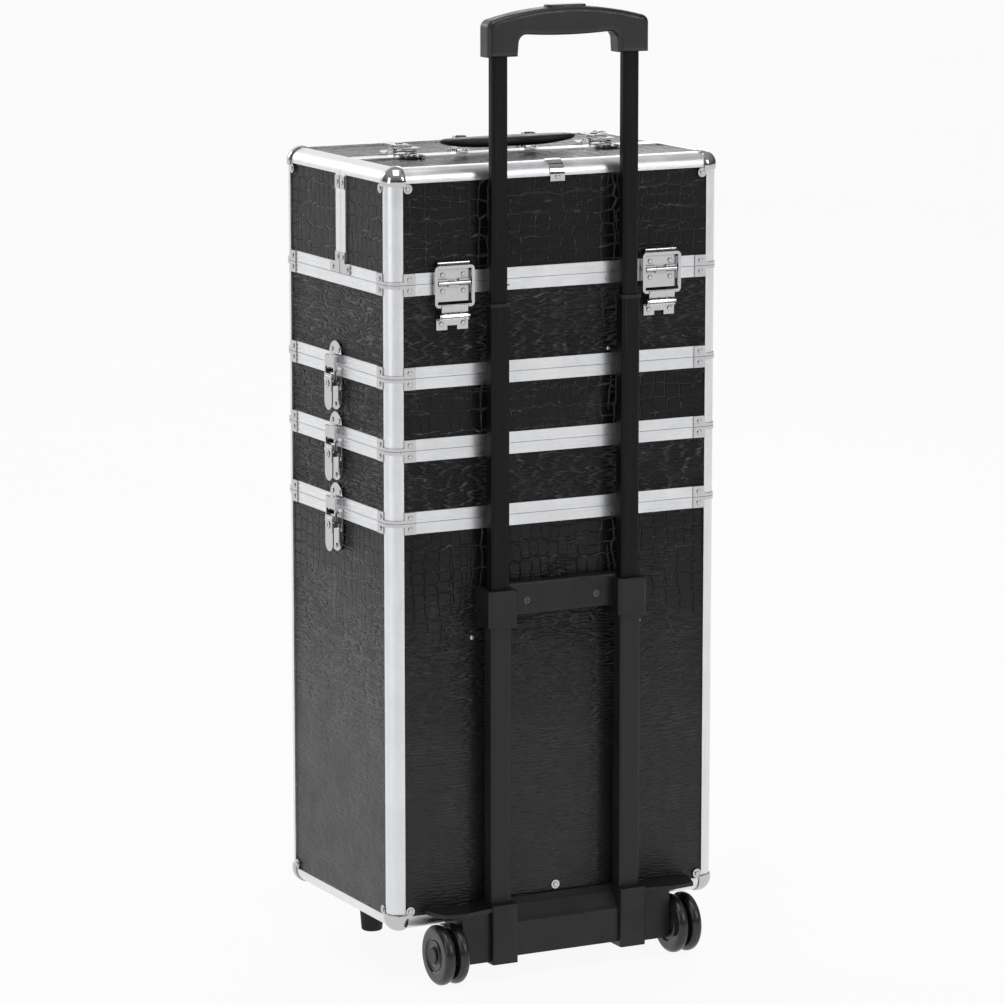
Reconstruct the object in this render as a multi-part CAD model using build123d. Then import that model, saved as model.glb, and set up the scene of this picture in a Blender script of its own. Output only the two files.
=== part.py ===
from build123d import *
import os

# Rolling makeup case: four stacked aluminium-framed sections on a trolley with a pull handle.
# Millimetres, +Z up, floor at Z = 0. The front faces -Y, the pull handle and wheels are at +Y.
# Hardware is drawn in a face frame: +X points out of the face, +Y runs along it, +Z up it.

os.makedirs("parts", exist_ok=True)

# ---- driving dimensions: case ----
CASE_W = 340.0            # along X
CASE_D = 225.0            # along Y
UNDERSIDE_Z = 50.0        # height of the case above the floor
BOTTOM_CASE_H = 381.8
LOWER_TRAY_H = 66.5
UPPER_TRAY_H = 66.2
TOP_CASE_H = 85.3
LID_H = 105.2
SEAM_Y = 10.5             # plane where the two lids meet
STACK_GAP = 0.4           # gap between neighbouring sections

# ---- driving dimensions: profiles and panels ----
EDGE_R = 12.0             # outer rounding of posts and edge profiles
PROFILE_LEG = 13.6
PROFILE_T = 6.8
RIM_H = 10.0              # height of the valance at an open rim
PANEL_T = 4.0
PANEL_RECESS = 1.6        # panel face behind the profile face
PANEL_EDGE_IN = 8.4       # panel edge behind a closed edge of the case
PANEL_RIM_IN = 3.4        # panel edge behind an open rim
SLOT_CLEARANCE = 0.05
PIECE_GAP = 0.05          # gap between neighbouring profile pieces and under plates
TONGUE_T = 1.2
TONGUE_H = 3.6
TRAY_FLOOR_Z = 5.0
TRAY_FLOOR_T = 3.0
GROOVE_H = 0.8            # fine grooves along the valance
GROOVE_DEPTH = 0.35
GROOVE_SHARES = (0.3, 0.7)   # places across the valance

# ---- driving dimensions: corner hardware ----
SHEET = 1.2               # pressed steel
SKIN_T = 1.0              # thin steel wrapped on the profiles
BRACE_BAND_H = 2.9
BRACE_PLATE_W = 12.0
CAP_REACH = 16.0
BALL_R = 14.3
BALL_IN = 12.5
LOBE_R = 4.4
LOBE_IN = 18.3
LOBE_OUT = 0.7
RIVET_R = 2.3
RIVET_H = 1.0
WASHER_R = 4.2
EDGE_CLIP_W = 15.0

# ---- driving dimensions: latches ----
LATCH_W = 26.0
KEEPER_FOOT, KEEPER_TOP = 2.0, 22.0
KEEPER_RIVET = (7.0, 14.0)        # along the face and above the joint plane
LUG_HALF_W, LUG_Z0, LUG_Z1 = 7.0, 3.5, 8.0
BASE_TOP, LATCH_BASE_LOW = -1.5, 42.0
BASE_RIVETS = ((-10.0, -20.5), (10.0, -20.5), (0.0, -37.0))
EAR_IN, EAR_OUT = 11.0, 12.2
EAR_Z0, EAR_Z1 = -16.0, -4.0
LEVER_W = 16.0
LEVER_TOP = 8.0
LEVER_N = 7.6                     # underside of the lever plate, out from the face
LEVER_WALL_Z0 = -19.0
LEVER_EYE_R, YOKE_EYE_R = 2.0, 2.0
HOUSING_Z0, HOUSING_T = -24.0, 0.7
LOCK_R, LOCK_Z, LOCK_SLOT_W = 3.6, -17.0, 1.2
YOKE_HALF_T = 1.0
YOKE_STRAP_IN, YOKE_STRAP_OUT = 8.5, 10.0
YOKE_BAR_Z0, YOKE_BAR_Z1 = 6.0, 9.0
PIVOT_N, PIVOT_Z = 3.6, -9.0      # lever pin, out from the face and above the joint plane
YOKE_N, YOKE_Z = 6.4, -14.0       # yoke pin on the lever
PIN_R = 1.5
YOKE_PIN_R = 1.3
PIN_CLEARANCE = 0.06
SIDE_LUG_H = 3.4
TOP_LUG_H = 0.5
TOP_LATCH_X = 102.0

# ---- driving dimensions: lid hinges and stays ----
HINGE_X = 107.0
HINGE_W = 32.0
HINGE_N = 3.0             # hinge axis out from the face
KNUCKLE_R = 2.2
HINGE_PIN_R = 1.2
LEAF_TOP, LEAF_LOW = 17.5, -17.0
LEAF_ROLL_R = 1.5
LEAF_RIVET_X, LEAF_RIVET_Z = 10.5, 7.5
UPPER_KNUCKLE_IN, LOWER_KNUCKLE_OUT = 5.4, 5.2
STAY_W = 40.0
STAY_BAR = 2.8
STAY_TOP = 16.0
STAY_N = 4.0              # stay pivot out from the face
STAY_PIVOT_Z = -30.0
STAY_EYE_R = 2.0
STAY_FOOT = -22.0         # lower bar of the stay's frame
STAY_PLATE_HALF_W = 12.0
DISH_R, DISH_N, DISH_Z = 9.0, 9.6, -25.5
ANCHOR_HALF_W, ANCHOR_TOP, ANCHOR_LOW = 16.0, -32.5, -39.0
ANCHOR_EAR_IN, ANCHOR_EAR_OUT = 12.3, 15.0

# ---- driving dimensions: trolley and pull handle ----
TUBE_X = 67.3
TUBE_N = 13.0             # tube centre line behind the case
OUTER_TUBE_W, OUTER_TUBE_D = 21.6, 16.0
TUBE_WALL = 1.1
TUBE_GAP = 0.3
TUBE_CORNER_R = 3.0
OUTER_TUBE_Z0, OUTER_TUBE_Z1 = 20.0, 361.0
MID_TUBE_Z0, MID_TUBE_Z1 = 296.0, 627.0
INNER_TUBE_Z0, INNER_TUBE_Z1 = 557.0, 872.0
MID_RING_H = 3.0
MID_RING_PROUD = 1.6
GLIDE_H = 8.0
RELEASE_ROD_R = 1.6
COLLAR_Z0, COLLAR_Z1 = 332.0, 366.0
COLLAR_W, COLLAR_N = 30.0, 25.0
BRIDGE_Z0, BRIDGE_Z1 = 339.0, 370.0
BRIDGE_N = 12.0
COLLAR_SCREW_X, COLLAR_SCREW_Z = 36.0, 352.0
PANEL_SCREW_X, PANEL_SCREW_Z = 87.0, 320.0

GRIP_HALF_W = 82.0
GRIP_OPENING_HALF_W = 50.0
GRIP_Z0, GRIP_OPENING_Z, GRIP_SHOULDER_Z, GRIP_TOP_Z = 853.0, 873.0, 885.0, 896.5
GRIP_BELLY_Z = 870.8       # the bar sags this low at mid width
GRIP_LEG_DRAFT = 1.5
GRIP_N0, GRIP_N1 = 3.0, 25.0
GRIP_SHOULDER_R = 8.0
GRIP_ROUND = 5.0
BUTTON_L, BUTTON_D, BUTTON_H = 40.0, 12.0, 9.0
BUTTON_TRAVEL = 5.0
BUTTON_PROUD = 1.6
BUTTON_GAP = 0.4

BASE_TOP_Z = 70.0
BASE_BEAM_Z0 = 20.0
SOCKET_X0, SOCKET_X1 = 54.0, 80.6
SOCKET_N, SOCKET_Z0 = 29.0, 15.0
BRACKET_X1 = 109.0
BRACKET_Z0 = 17.0
FENDER_X1 = 139.0
FENDER_T = 3.5
FENDER_N = 30.0
BASE_UNDER_Y = 30.0       # how far the base reaches under the case
BASE_UNDER_T = 5.0

WHEEL_R = 28.0
WHEEL_N = 15.0
WHEEL_T = 11.0
WHEEL_INNER_X, WHEEL_OUTER_X = 109.8, 124.0
WHEEL_ROUND = 4.5
AXLE_R = 4.0
AXLE_CLEARANCE = 0.05
AXLE_HEAD_R, AXLE_HEAD_T = 8.0, 1.4

FOOT_X, FOOT_Y = 102.0, -72.5
FOOT_TOP_R, FOOT_BOTTOM_R = 14.0, 10.0

# ---- driving dimensions: carry handle ----
HANDLE_PIVOT_Y = -13.5
HANDLE_PIVOT_N = 9.4      # above the top profile face, so the grip clears a lifting rear lid
HANDLE_REACH = 28.0
HANDLE_L, HANDLE_W, HANDLE_T = 140.0, 24.0, 10.0
HANDLE_TIP_W, HANDLE_TIP_R = 11.0, 4.5
HANDLE_EDGE_R = 3.0
HANDLE_ARM_X, HANDLE_ARM_W = 36.0, 8.0
HANDLE_EYE_R = 4.0

# ---- heights of the joints between sections ----
JOINT_1 = UNDERSIDE_Z + BOTTOM_CASE_H
JOINT_2 = JOINT_1 + LOWER_TRAY_H
JOINT_3 = JOINT_2 + UPPER_TRAY_H
JOINT_4 = JOINT_3 + TOP_CASE_H
TOP_Z = JOINT_4 + LID_H
HALF_W, HALF_D = CASE_W / 2, CASE_D / 2
HALF_GAP = STACK_GAP / 2
PANEL_SEAT = -PANEL_RECESS + PIECE_GAP    # underside of hardware set on a panel

# The model's origin is the middle of its footprint, so the case is set forward of it.
BACK_REACH = HALF_D + WHEEL_N + WHEEL_R
FRONT_REACH = HALF_D + STAY_N + STAY_EYE_R
ORIGIN_Y = (BACK_REACH - FRONT_REACH) / 2


# ---- helpers ----
def block(x0, x1, y0, y1, z0, z1):
    return Pos((x0 + x1) / 2, (y0 + y1) / 2, (z0 + z1) / 2) * Box(x1 - x0, y1 - y0, z1 - z0)


def rod_x(radius, y, z, x0, x1):
    return Pos((x0 + x1) / 2, y, z) * Rot(0, 90, 0) * Cylinder(radius, x1 - x0)


def rod_y(radius, x, z, y0, y1):
    return Pos(x, (y0 + y1) / 2, z) * Rot(90, 0, 0) * Cylinder(radius, y1 - y0)


def rod_z(radius, x, y, z0, z1):
    return Pos(x, y, (z0 + z1) / 2) * Cylinder(radius, z1 - z0)


def mirrored(shape):
    return mirror(shape, about=Plane.YZ)


def both_sides(shape):
    return [shape, mirrored(shape)]


FACE_OUT = {"right": (1, 0, 0), "left": (-1, 0, 0), "back": (0, 1, 0), "front": (0, -1, 0)}
FACE_REACH = {"right": HALF_W, "left": HALF_W, "back": HALF_D, "front": HALF_D}


def on_face(shape, face, along, height):
    """Put a shape from the face frame on an upright face; along is the world X or Y."""
    out = Vector(*FACE_OUT[face])
    side = Vector(0, 1, 0) if face in ("right", "left") else Vector(1, 0, 0)
    origin = out * FACE_REACH[face] + side * along + Vector(0, 0, height)
    return Plane(origin=origin, x_dir=out, z_dir=(0, 0, 1)).location * shape


def on_top(shape, x, y):
    """Put a shape from the face frame on the top: out is up, and the frame's +Z runs to +Y."""
    return Plane(origin=(x, y, TOP_Z), x_dir=(0, 0, 1), z_dir=(0, 1, 0)).location * shape


def write(node, pieces):
    solids = [solid for piece in pieces for solid in piece.solids()]
    export_step(Compound(solids).moved(Location((0, -ORIGIN_Y, 0))), f"parts/{node}.step")


def rivet(out, along, height, seat):
    """Round head on a sheet at out, with a shank down to seat."""
    head = fillet(Cylinder(RIVET_R, RIVET_H).edges().group_by(Axis.Z)[-1], RIVET_H * 0.7)
    head = Pos(out + RIVET_H / 2, along, height) * Rot(0, 90, 0) * head
    return head + rod_x(RIVET_R * 0.6, along, height, seat, out)


# ---- case sections ----
class Section:
    """A box section. Closed sides are rounded and framed, open sides have valances."""

    def __init__(self, z0, z1, y0=-HALF_D, y1=HALF_D, floor=False, roof=False):
        self.z0 = z0 if floor else z0 + HALF_GAP
        self.z1 = z1 if roof else z1 - HALF_GAP
        self.front, self.back = y0 == -HALF_D, y1 == HALF_D
        self.y0 = y0 if self.front else y0 + HALF_GAP
        self.y1 = y1 if self.back else y1 - HALF_GAP
        self.floor, self.roof = floor, roof

    def hull(self, grow=0.0):
        x = HALF_W + grow
        y0 = self.y0 - grow * self.front
        y1 = self.y1 + grow * self.back
        z0 = self.z0 - grow * self.floor
        z1 = self.z1 + grow * self.roof
        body = block(-x, x, y0, y1, z0, z1)

        def outer(edge):
            middle = edge.center()
            near = [abs(abs(middle.X) - x) < 0.001,
                    self.front and abs(middle.Y - y0) < 0.001,
                    self.back and abs(middle.Y - y1) < 0.001,
                    self.floor and abs(middle.Z - z0) < 0.001,
                    self.roof and abs(middle.Z - z1) < 0.001]
            return sum(near) >= 2

        return fillet([edge for edge in body.edges() if outer(edge)], EDGE_R + grow)

    def inset(self, closed_in, open_in):
        """Limits inside the section, with one inset at closed sides and one at open sides."""
        return (
            -HALF_W + closed_in, HALF_W - closed_in,
            self.y0 + (closed_in if self.front else open_in),
            self.y1 - (closed_in if self.back else open_in),
            self.z0 + (closed_in if self.floor else open_in),
            self.z1 - (closed_in if self.roof else open_in),
        )

    def cavity(self):
        return block(*self.inset(PROFILE_T, -1.0))

    def panels(self, slack=0.0):
        x0, x1, y0, y1, z0, z1 = self.inset(PANEL_EDGE_IN - slack, PANEL_RIM_IN - slack)
        near, far = PANEL_RECESS - slack, PANEL_RECESS + PANEL_T + slack
        found = [block(HALF_W - far, HALF_W - near, y0, y1, z0, z1),
                 block(-HALF_W + near, -HALF_W + far, y0, y1, z0, z1)]
        if self.back:
            found.append(block(x0, x1, self.y1 - far, self.y1 - near, z0, z1))
        if self.front:
            found.append(block(x0, x1, self.y0 + near, self.y0 + far, z0, z1))
        if self.floor:
            found.append(block(x0, x1, y0, y1, self.z0 + near, self.z0 + far))
        if self.roof:
            found.append(block(x0, x1, y0, y1, self.z1 - far, self.z1 - near))
        return found

    def corners(self):
        ends = ([-1] if self.front else []) + ([1] if self.back else [])
        return [(side, end) for side in (-1, 1) for end in ends]

    def corner_zone(self, side, end, reach, z0, z1, past=3.0):
        """A column over one outer corner, reaching inwards from both faces."""
        face_y = self.y1 if end > 0 else self.y0
        x = sorted((side * (HALF_W + past), side * (HALF_W - reach)))
        y = sorted((face_y + end * past, face_y - end * reach))
        return block(*x, *y, z0, z1)

    def rims(self):
        """Open rims as pairs: height and the direction into the section."""
        return ([] if self.roof else [(self.z1, -1)]) + ([] if self.floor else [(self.z0, 1)])

    def grooves(self):
        """Fine lines along the valances, left off the posts and the open faces."""
        past = 5.0
        core = block(-HALF_W + GROOVE_DEPTH, HALF_W - GROOVE_DEPTH,
                     self.y0 + (GROOVE_DEPTH if self.front else -past),
                     self.y1 - (GROOVE_DEPTH if self.back else -past), self.z0 - past, self.z1 + past)
        skin = self.hull(1.0) - core
        found = []
        for rim, inwards in self.rims():
            for share in GROOVE_SHARES:
                level = rim + inwards * RIM_H * share
                line = skin & block(-HALF_W - past, HALF_W + past, self.y0 - past, self.y1 + past,
                                    level - GROOVE_H / 2, level + GROOVE_H / 2)
                for side, end in self.corners():
                    line -= self.corner_zone(side, end, PROFILE_LEG, level - past, level + past)
                found.append(line)
        return found

    def frame(self):
        shell = self.hull() - self.cavity()
        for cut in self.panels(SLOT_CLEARANCE) + self.grooves():
            shell -= cut
        low = self.z0 if self.floor else self.z0 + BRACE_BAND_H + PIECE_GAP
        high = self.z1 if self.roof else self.z1 - BRACE_BAND_H - PIECE_GAP
        pieces = [shell & self.corner_zone(*corner, PROFILE_LEG, low, high) for corner in self.corners()]

        seam = RIM_H + PIECE_GAP
        post = PROFILE_LEG + PIECE_GAP
        rail_y0 = self.y0 + (post if self.front else seam)
        rail_y1 = self.y1 - (post if self.back else seam)
        levels = [(self.z0, self.z0 + (PROFILE_LEG if self.floor else RIM_H)),
                  (self.z1 - (PROFILE_LEG if self.roof else RIM_H), self.z1)]
        for z0, z1 in levels:
            for side in (-1, 1):
                x = sorted((side * HALF_W, side * (HALF_W - PROFILE_LEG)))
                pieces.append(shell & block(*x, rail_y0, rail_y1, z0, z1))
            for end in sorted({end for _, end in self.corners()}):
                face_y = self.y1 if end > 0 else self.y0
                y = sorted((face_y, face_y - end * PROFILE_LEG))
                pieces.append(shell & block(-HALF_W + post, HALF_W - post, *y, z0, z1))
        if not (self.front and self.back):
            y = (self.y0, self.y0 + RIM_H) if self.back else (self.y1 - RIM_H, self.y1)
            pieces.append(shell & block(-HALF_W, HALF_W, *y, self.z0, self.z1))
        return pieces

    def tongues(self):
        """Strips inside the top rim that locate the section above."""
        pieces = []
        for half, other, turn in ((HALF_W, HALF_D, 0), (HALF_D, HALF_W, 90)):
            near = half - PROFILE_T - PIECE_GAP
            length = other - 2 * PROFILE_LEG
            strip = block(near - TONGUE_T, near, -length, length, self.z1 - 8, self.z1)
            strip += block(near - TONGUE_T, near - 0.3, -length, length, self.z1, self.z1 + TONGUE_H)
            pieces += [Rot(0, 0, turn) * strip, Rot(0, 0, turn + 180) * strip]
        return pieces

    def tray_floor(self):
        x0, x1, y0, y1, z0, _ = self.inset(PROFILE_T + PIECE_GAP, 0)
        return block(x0, x1, y0, y1, z0 + TRAY_FLOOR_Z, z0 + TRAY_FLOOR_Z + TRAY_FLOOR_T)

    def braces(self):
        """Wrapped steel braces where the posts meet an open rim."""
        pieces = []
        skin = self.hull(SKIN_T) - self.hull(PIECE_GAP)
        thick = self.hull(SKIN_T) - self.cavity()
        for slot in self.panels(SLOT_CLEARANCE):
            thick -= slot
        for rim, inwards in self.rims():
            band_z = sorted((rim, rim + inwards * BRACE_BAND_H))
            plate_z = sorted((rim, rim + inwards * RIM_H))
            for side, end in self.corners():
                piece = thick & self.corner_zone(side, end, PROFILE_LEG, *band_z)
                wide = self.corner_zone(side, end, PROFILE_LEG + BRACE_PLATE_W, *plate_z)
                wide -= self.corner_zone(side, end, PROFILE_LEG, *plate_z)
                piece += skin & wide
                middle = PROFILE_LEG + BRACE_PLATE_W / 2
                height = rim + inwards * RIM_H / 2
                face_y = self.y1 if end > 0 else self.y0
                head = rivet(SKIN_T, 0, 0, PIECE_GAP)
                piece += on_face(head, "right" if side > 0 else "left", face_y - end * middle, height)
                piece += on_face(head, "back" if end > 0 else "front", side * (HALF_W - middle), height)
                pieces.append(piece)
        return pieces

    def ball_corners(self):
        """Pressed ball caps on the closed corners, with a riveted lobe on each face."""
        level, inwards = (self.z0, 1) if self.floor else (self.z1, -1)
        inside = self.hull(PIECE_GAP)
        cover = self.hull(SKIN_T)
        pieces = []
        for side, end in self.corners():
            face_y = self.y1 if end > 0 else self.y0
            levels = sorted((level - inwards * 3, level + inwards * CAP_REACH))
            zone = self.corner_zone(side, end, CAP_REACH, *levels)
            centre = Pos(side * (HALF_W - BALL_IN), face_y - end * BALL_IN, level + inwards * BALL_IN)
            ball = centre * Sphere(BALL_R)
            piece = (cover & zone) + (ball & zone) - inside
            seat = PANEL_SEAT
            lobe = rod_x(LOBE_R, 0, 0, seat, LOBE_OUT) + rivet(LOBE_OUT, 0, 0, 0)
            neck = (LOBE_IN - PROFILE_LEG - 0.4) / 2
            arm = block(seat, LOBE_OUT, -neck, neck, -neck, neck)
            x_face = "right" if side > 0 else "left"
            y_face = "back" if end > 0 else "front"
            for shape, place in ((lobe, LOBE_IN), (arm, LOBE_IN - neck)):
                height = level + inwards * place
                piece += on_face(shape, x_face, face_y - end * place, height)
                piece += on_face(shape, y_face, side * (HALF_W - place), height)
            pieces.append(piece)
        return pieces


bottom_case = Section(UNDERSIDE_Z, JOINT_1, floor=True)
lower_tray = Section(JOINT_1, JOINT_2)
upper_tray = Section(JOINT_2, JOINT_3)
top_case = Section(JOINT_3, JOINT_4)
rear_lid = Section(JOINT_4, TOP_Z, y0=SEAM_Y, roof=True)
front_lid = Section(JOINT_4, TOP_Z, y1=SEAM_Y, roof=True)


# ---- latches, in the face frame with the joint plane at Z = 0 ----
def rounded_plate(out, width, z0, z1, end):
    """Flat plate with a round end at z1."""
    half = width / 2
    centre = z1 - end * half
    flat = block(out, out + SHEET, -half, half, *sorted((z0, centre)))
    tip = rod_x(half, 0, centre, out, out + SHEET) & block(out, out + SHEET, -half, half, *sorted((z0, z1)))
    return flat + tip


def latch_keeper(lug_h):
    plate = rounded_plate(PIECE_GAP, LATCH_W, KEEPER_FOOT, KEEPER_TOP, 1)
    face = PIECE_GAP + SHEET
    lug = block(face, face + lug_h, -LUG_HALF_W, LUG_HALF_W, LUG_Z0, LUG_Z1)
    lug = fillet(lug.edges().filter_by(Axis.Y).group_by(Axis.X)[-1], min(1.4, lug_h * 0.8))
    piece = plate + lug
    along, height = KEEPER_RIVET
    for side in (-1, 1):
        piece += rivet(face, side * along, height, PANEL_SEAT)
    return piece


def latch_base():
    face = PIECE_GAP + SHEET
    piece = rounded_plate(PIECE_GAP, LATCH_W, BASE_TOP, -LATCH_BASE_LOW, -1)
    for side in (-1, 1):
        ear = sorted((side * EAR_IN, side * EAR_OUT))
        piece += block(face, PIVOT_N, *ear, EAR_Z0, EAR_Z1)
        piece += block(PIVOT_N, PIVOT_N + 2.4, *ear, EAR_Z0 + 3, EAR_Z1 - 1)
    piece += rod_y(PIN_R, PIVOT_N, PIVOT_Z, -EAR_OUT, EAR_OUT)
    for along, height in BASE_RIVETS:
        piece += rivet(face, along, height, PANEL_SEAT)
    return piece


def latch_lever():
    half, out = LEVER_W / 2, LEVER_N
    face = out + SHEET + HOUSING_T
    piece = rounded_plate(out, LEVER_W, -LEVER_TOP, -LATCH_BASE_LOW, -1)
    housing = block(out, face, -half + 1, half - 1, HOUSING_Z0, -LEVER_TOP - 2)
    piece += fillet(housing.edges().group_by(Axis.X)[-1], 0.6)
    for side in (-1, 1):
        wall = sorted((side * (half - SHEET), side * half))
        piece += rod_y(LEVER_EYE_R, PIVOT_N, PIVOT_Z, *wall)
        piece += block(PIVOT_N, out + 0.2, *wall, LEVER_WALL_Z0, -LEVER_TOP - 0.2)
        piece += block(PIVOT_N - 1.2, PIVOT_N, *wall, LEVER_WALL_Z0, PIVOT_Z)
        piece += rod_y(YOKE_PIN_R, YOKE_N, YOKE_Z, *sorted((side * (half - SHEET), side * (YOKE_STRAP_OUT + 0.2))))
    piece -= rod_y(PIN_R + PIN_CLEARANCE, PIVOT_N, PIVOT_Z, -EAR_OUT, EAR_OUT)
    lock = rod_x(LOCK_R, 0, LOCK_Z, face - 0.4, face + 0.7)
    return piece + lock - block(face, face + 1, -LOCK_SLOT_W / 2, LOCK_SLOT_W / 2, LOCK_Z - 2, LOCK_Z + 2)


def latch_yoke():
    near, far, wide = YOKE_N - YOKE_HALF_T, YOKE_N + YOKE_HALF_T, YOKE_STRAP_OUT
    piece = block(near, far, -wide, wide, YOKE_BAR_Z0, YOKE_BAR_Z1)
    piece += block(YOKE_N, far, -wide, wide, -2, YOKE_BAR_Z0 + 0.5)
    for side in (-1, 1):
        strap = sorted((side * YOKE_STRAP_IN, side * wide))
        piece += block(near, far, *strap, YOKE_Z, YOKE_BAR_Z0)
        piece += rod_y(YOKE_EYE_R, YOKE_N, YOKE_Z, *strap)
    return piece - rod_y(YOKE_PIN_R + PIN_CLEARANCE, YOKE_N, YOKE_Z, -wide - 1, wide + 1)


# ---- lid hinges and stays, in the face frame with the joint plane at Z = 0 ----
def hinge_upper_leaf():
    half, middle = HINGE_W / 2, UPPER_KNUCKLE_IN
    piece = block(PIECE_GAP, PIECE_GAP + SHEET, -half, half, 2.4, LEAF_TOP)
    piece += rod_y(LEAF_ROLL_R, PIECE_GAP + LEAF_ROLL_R + 0.05, LEAF_TOP + 0.7, -half, half)
    for side in (-1, 1):
        span = sorted((side * middle, side * half))
        piece += rod_y(KNUCKLE_R, HINGE_N, 0, *span)
        piece += block(PIECE_GAP + 0.8, HINGE_N, *span, 1.2, 3.4)
        piece += rivet(PIECE_GAP + SHEET, side * LEAF_RIVET_X, LEAF_RIVET_Z, PIECE_GAP)
    return piece - rod_y(HINGE_PIN_R + PIN_CLEARANCE, HINGE_N, 0, -half - 1, half + 1)


def hinge_lower_leaf():
    half, middle = HINGE_W / 2, LOWER_KNUCKLE_OUT
    piece = block(PIECE_GAP, PIECE_GAP + SHEET, -half, half, LEAF_LOW, -2.8)
    piece += rod_y(KNUCKLE_R, HINGE_N, 0, -middle, middle)
    piece += block(PIECE_GAP + 0.8, HINGE_N, -middle, middle, -3.6, -1.2)
    piece += rod_y(HINGE_PIN_R, HINGE_N, 0, -half - 0.5, half + 0.5)
    for side in (-1, 1):
        piece += rivet(PIECE_GAP + SHEET, side * LEAF_RIVET_X, -LEAF_RIVET_Z, PIECE_GAP)
    return piece


def stay_anchor():
    seat = PANEL_SEAT
    piece = block(seat, seat + SHEET, -ANCHOR_HALF_W, ANCHOR_HALF_W, ANCHOR_LOW, ANCHOR_TOP)
    for side in (-1, 1):
        tab = sorted((side * 5, side * ANCHOR_HALF_W))
        piece += block(seat, seat + SHEET, *tab, ANCHOR_LOW - 4, ANCHOR_LOW + 0.5)
        piece += rivet(seat + SHEET, side * 11, ANCHOR_LOW + 1.5, seat)
        ear = sorted((side * ANCHOR_EAR_IN, side * ANCHOR_EAR_OUT))
        piece += block(seat, STAY_N, *ear, ANCHOR_TOP - 1.5, STAY_PIVOT_Z + STAY_EYE_R)
        piece += rod_y(STAY_EYE_R, STAY_N, STAY_PIVOT_Z, *ear)
    return piece + rod_y(HINGE_PIN_R, STAY_N, STAY_PIVOT_Z, -ANCHOR_EAR_OUT, ANCHOR_EAR_OUT)


def lid_stay():
    half, bar = STAY_W / 2, STAY_BAR
    near, far = STAY_N - bar / 2, STAY_N + bar / 2
    frame = block(near, far, -half, half, STAY_FOOT, STAY_TOP)
    frame = fillet(frame.edges().filter_by(Axis.X), 4)
    frame -= block(near - 1, far + 1, -half + bar, half - bar, STAY_FOOT + bar, STAY_TOP - bar)
    wide = STAY_PLATE_HALF_W
    plate = block(STAY_N, STAY_N + SHEET, -wide, wide, STAY_PIVOT_Z, STAY_FOOT + 1)
    dish = rod_y(DISH_R, STAY_N + DISH_N, DISH_Z, -wide - 0.5, wide + 0.5)
    dish &= block(0, DISH_N, -wide - 0.5, wide + 0.5, DISH_Z - 3, DISH_Z + 5.5)
    eye = rod_y(STAY_EYE_R, STAY_N, STAY_PIVOT_Z, -wide, wide)
    piece = frame + plate + eye - dish
    return piece - rod_y(HINGE_PIN_R + PIN_CLEARANCE, STAY_N, STAY_PIVOT_Z, -wide - 1, wide + 1)


def each_hinge(shape, face):
    return [on_face(shape, face, side * HINGE_X, JOINT_4) for side in (-1, 1)]


# ---- case sections as nodes ----
write("bottom_case_panels", bottom_case.panels())
write("bottom_case_frame", bottom_case.frame() + bottom_case.tongues())
edge_rivet = on_face(rivet(PANEL_SEAT + SHEET, 0, 0, PANEL_SEAT)
                     + rod_x(WASHER_R, 0, 0, PANEL_SEAT, PANEL_SEAT + SHEET), "back", 0, BASE_TOP_Z + 6)
write("bottom_case_hardware",
      bottom_case.ball_corners() + bottom_case.braces() + [edge_rivet]
      + [on_face(latch_base(), face, 0, JOINT_1) for face in ("left", "right")])

for name, tray, low, high in (("lower_tray", lower_tray, JOINT_1, JOINT_2),
                              ("upper_tray", upper_tray, JOINT_2, JOINT_3)):
    write(name + "_panels", tray.panels() + [tray.tray_floor()])
    write(name + "_frame", tray.frame() + tray.tongues())
    write(name + "_hardware", tray.braces()
          + [on_face(latch_keeper(SIDE_LUG_H), face, 0, low) for face in ("left", "right")]
          + [on_face(latch_base(), face, 0, high) for face in ("left", "right")])

write("top_case_panels", top_case.panels() + [top_case.tray_floor()])
write("top_case_frame", top_case.frame())
write("top_case_hardware", top_case.braces()
      + [on_face(latch_keeper(SIDE_LUG_H), face, 0, JOINT_3) for face in ("left", "right")])
write("lid_hinge_lower_leaves",
      each_hinge(hinge_lower_leaf(), "back") + each_hinge(hinge_lower_leaf(), "front"))
write("lid_stay_anchors", each_hinge(stay_anchor(), "back") + each_hinge(stay_anchor(), "front"))


def seam_braces(lid):
    """Flat L plates at the foot of the seam and small plates where it turns on to the top."""
    seam_y, away = (lid.y0, 1) if lid.back else (lid.y1, -1)
    pieces = []
    for face in ("left", "right"):
        upright = block(PIECE_GAP, PIECE_GAP + SKIN_T, *sorted((0.3 * away, 9.7 * away)), 0.4, 20)
        foot = block(PIECE_GAP, PIECE_GAP + SKIN_T, *sorted((9.7 * away, 20 * away)), 0.4, 9.6)
        if face == "left":
            upright, foot = mirror(upright, about=Plane.XZ), mirror(foot, about=Plane.XZ)
        turn = 1 if face == "right" else -1
        heads = rivet(PIECE_GAP + SKIN_T, turn * away * 5, 15, PIECE_GAP)
        heads += rivet(PIECE_GAP + SKIN_T, turn * away * 15, 5, PIECE_GAP)
        pieces.append(on_face(upright + foot + heads, face, seam_y, lid.z0))
        patch = block(PIECE_GAP, PIECE_GAP + SKIN_T, *sorted((turn * 0.6 * away, turn * 9.6 * away)), -27, -15)
        patch += rivet(PIECE_GAP + SKIN_T, turn * away * 5, -21, PIECE_GAP)
        pieces.append(on_face(patch, face, seam_y, TOP_Z))
    return pieces


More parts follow.
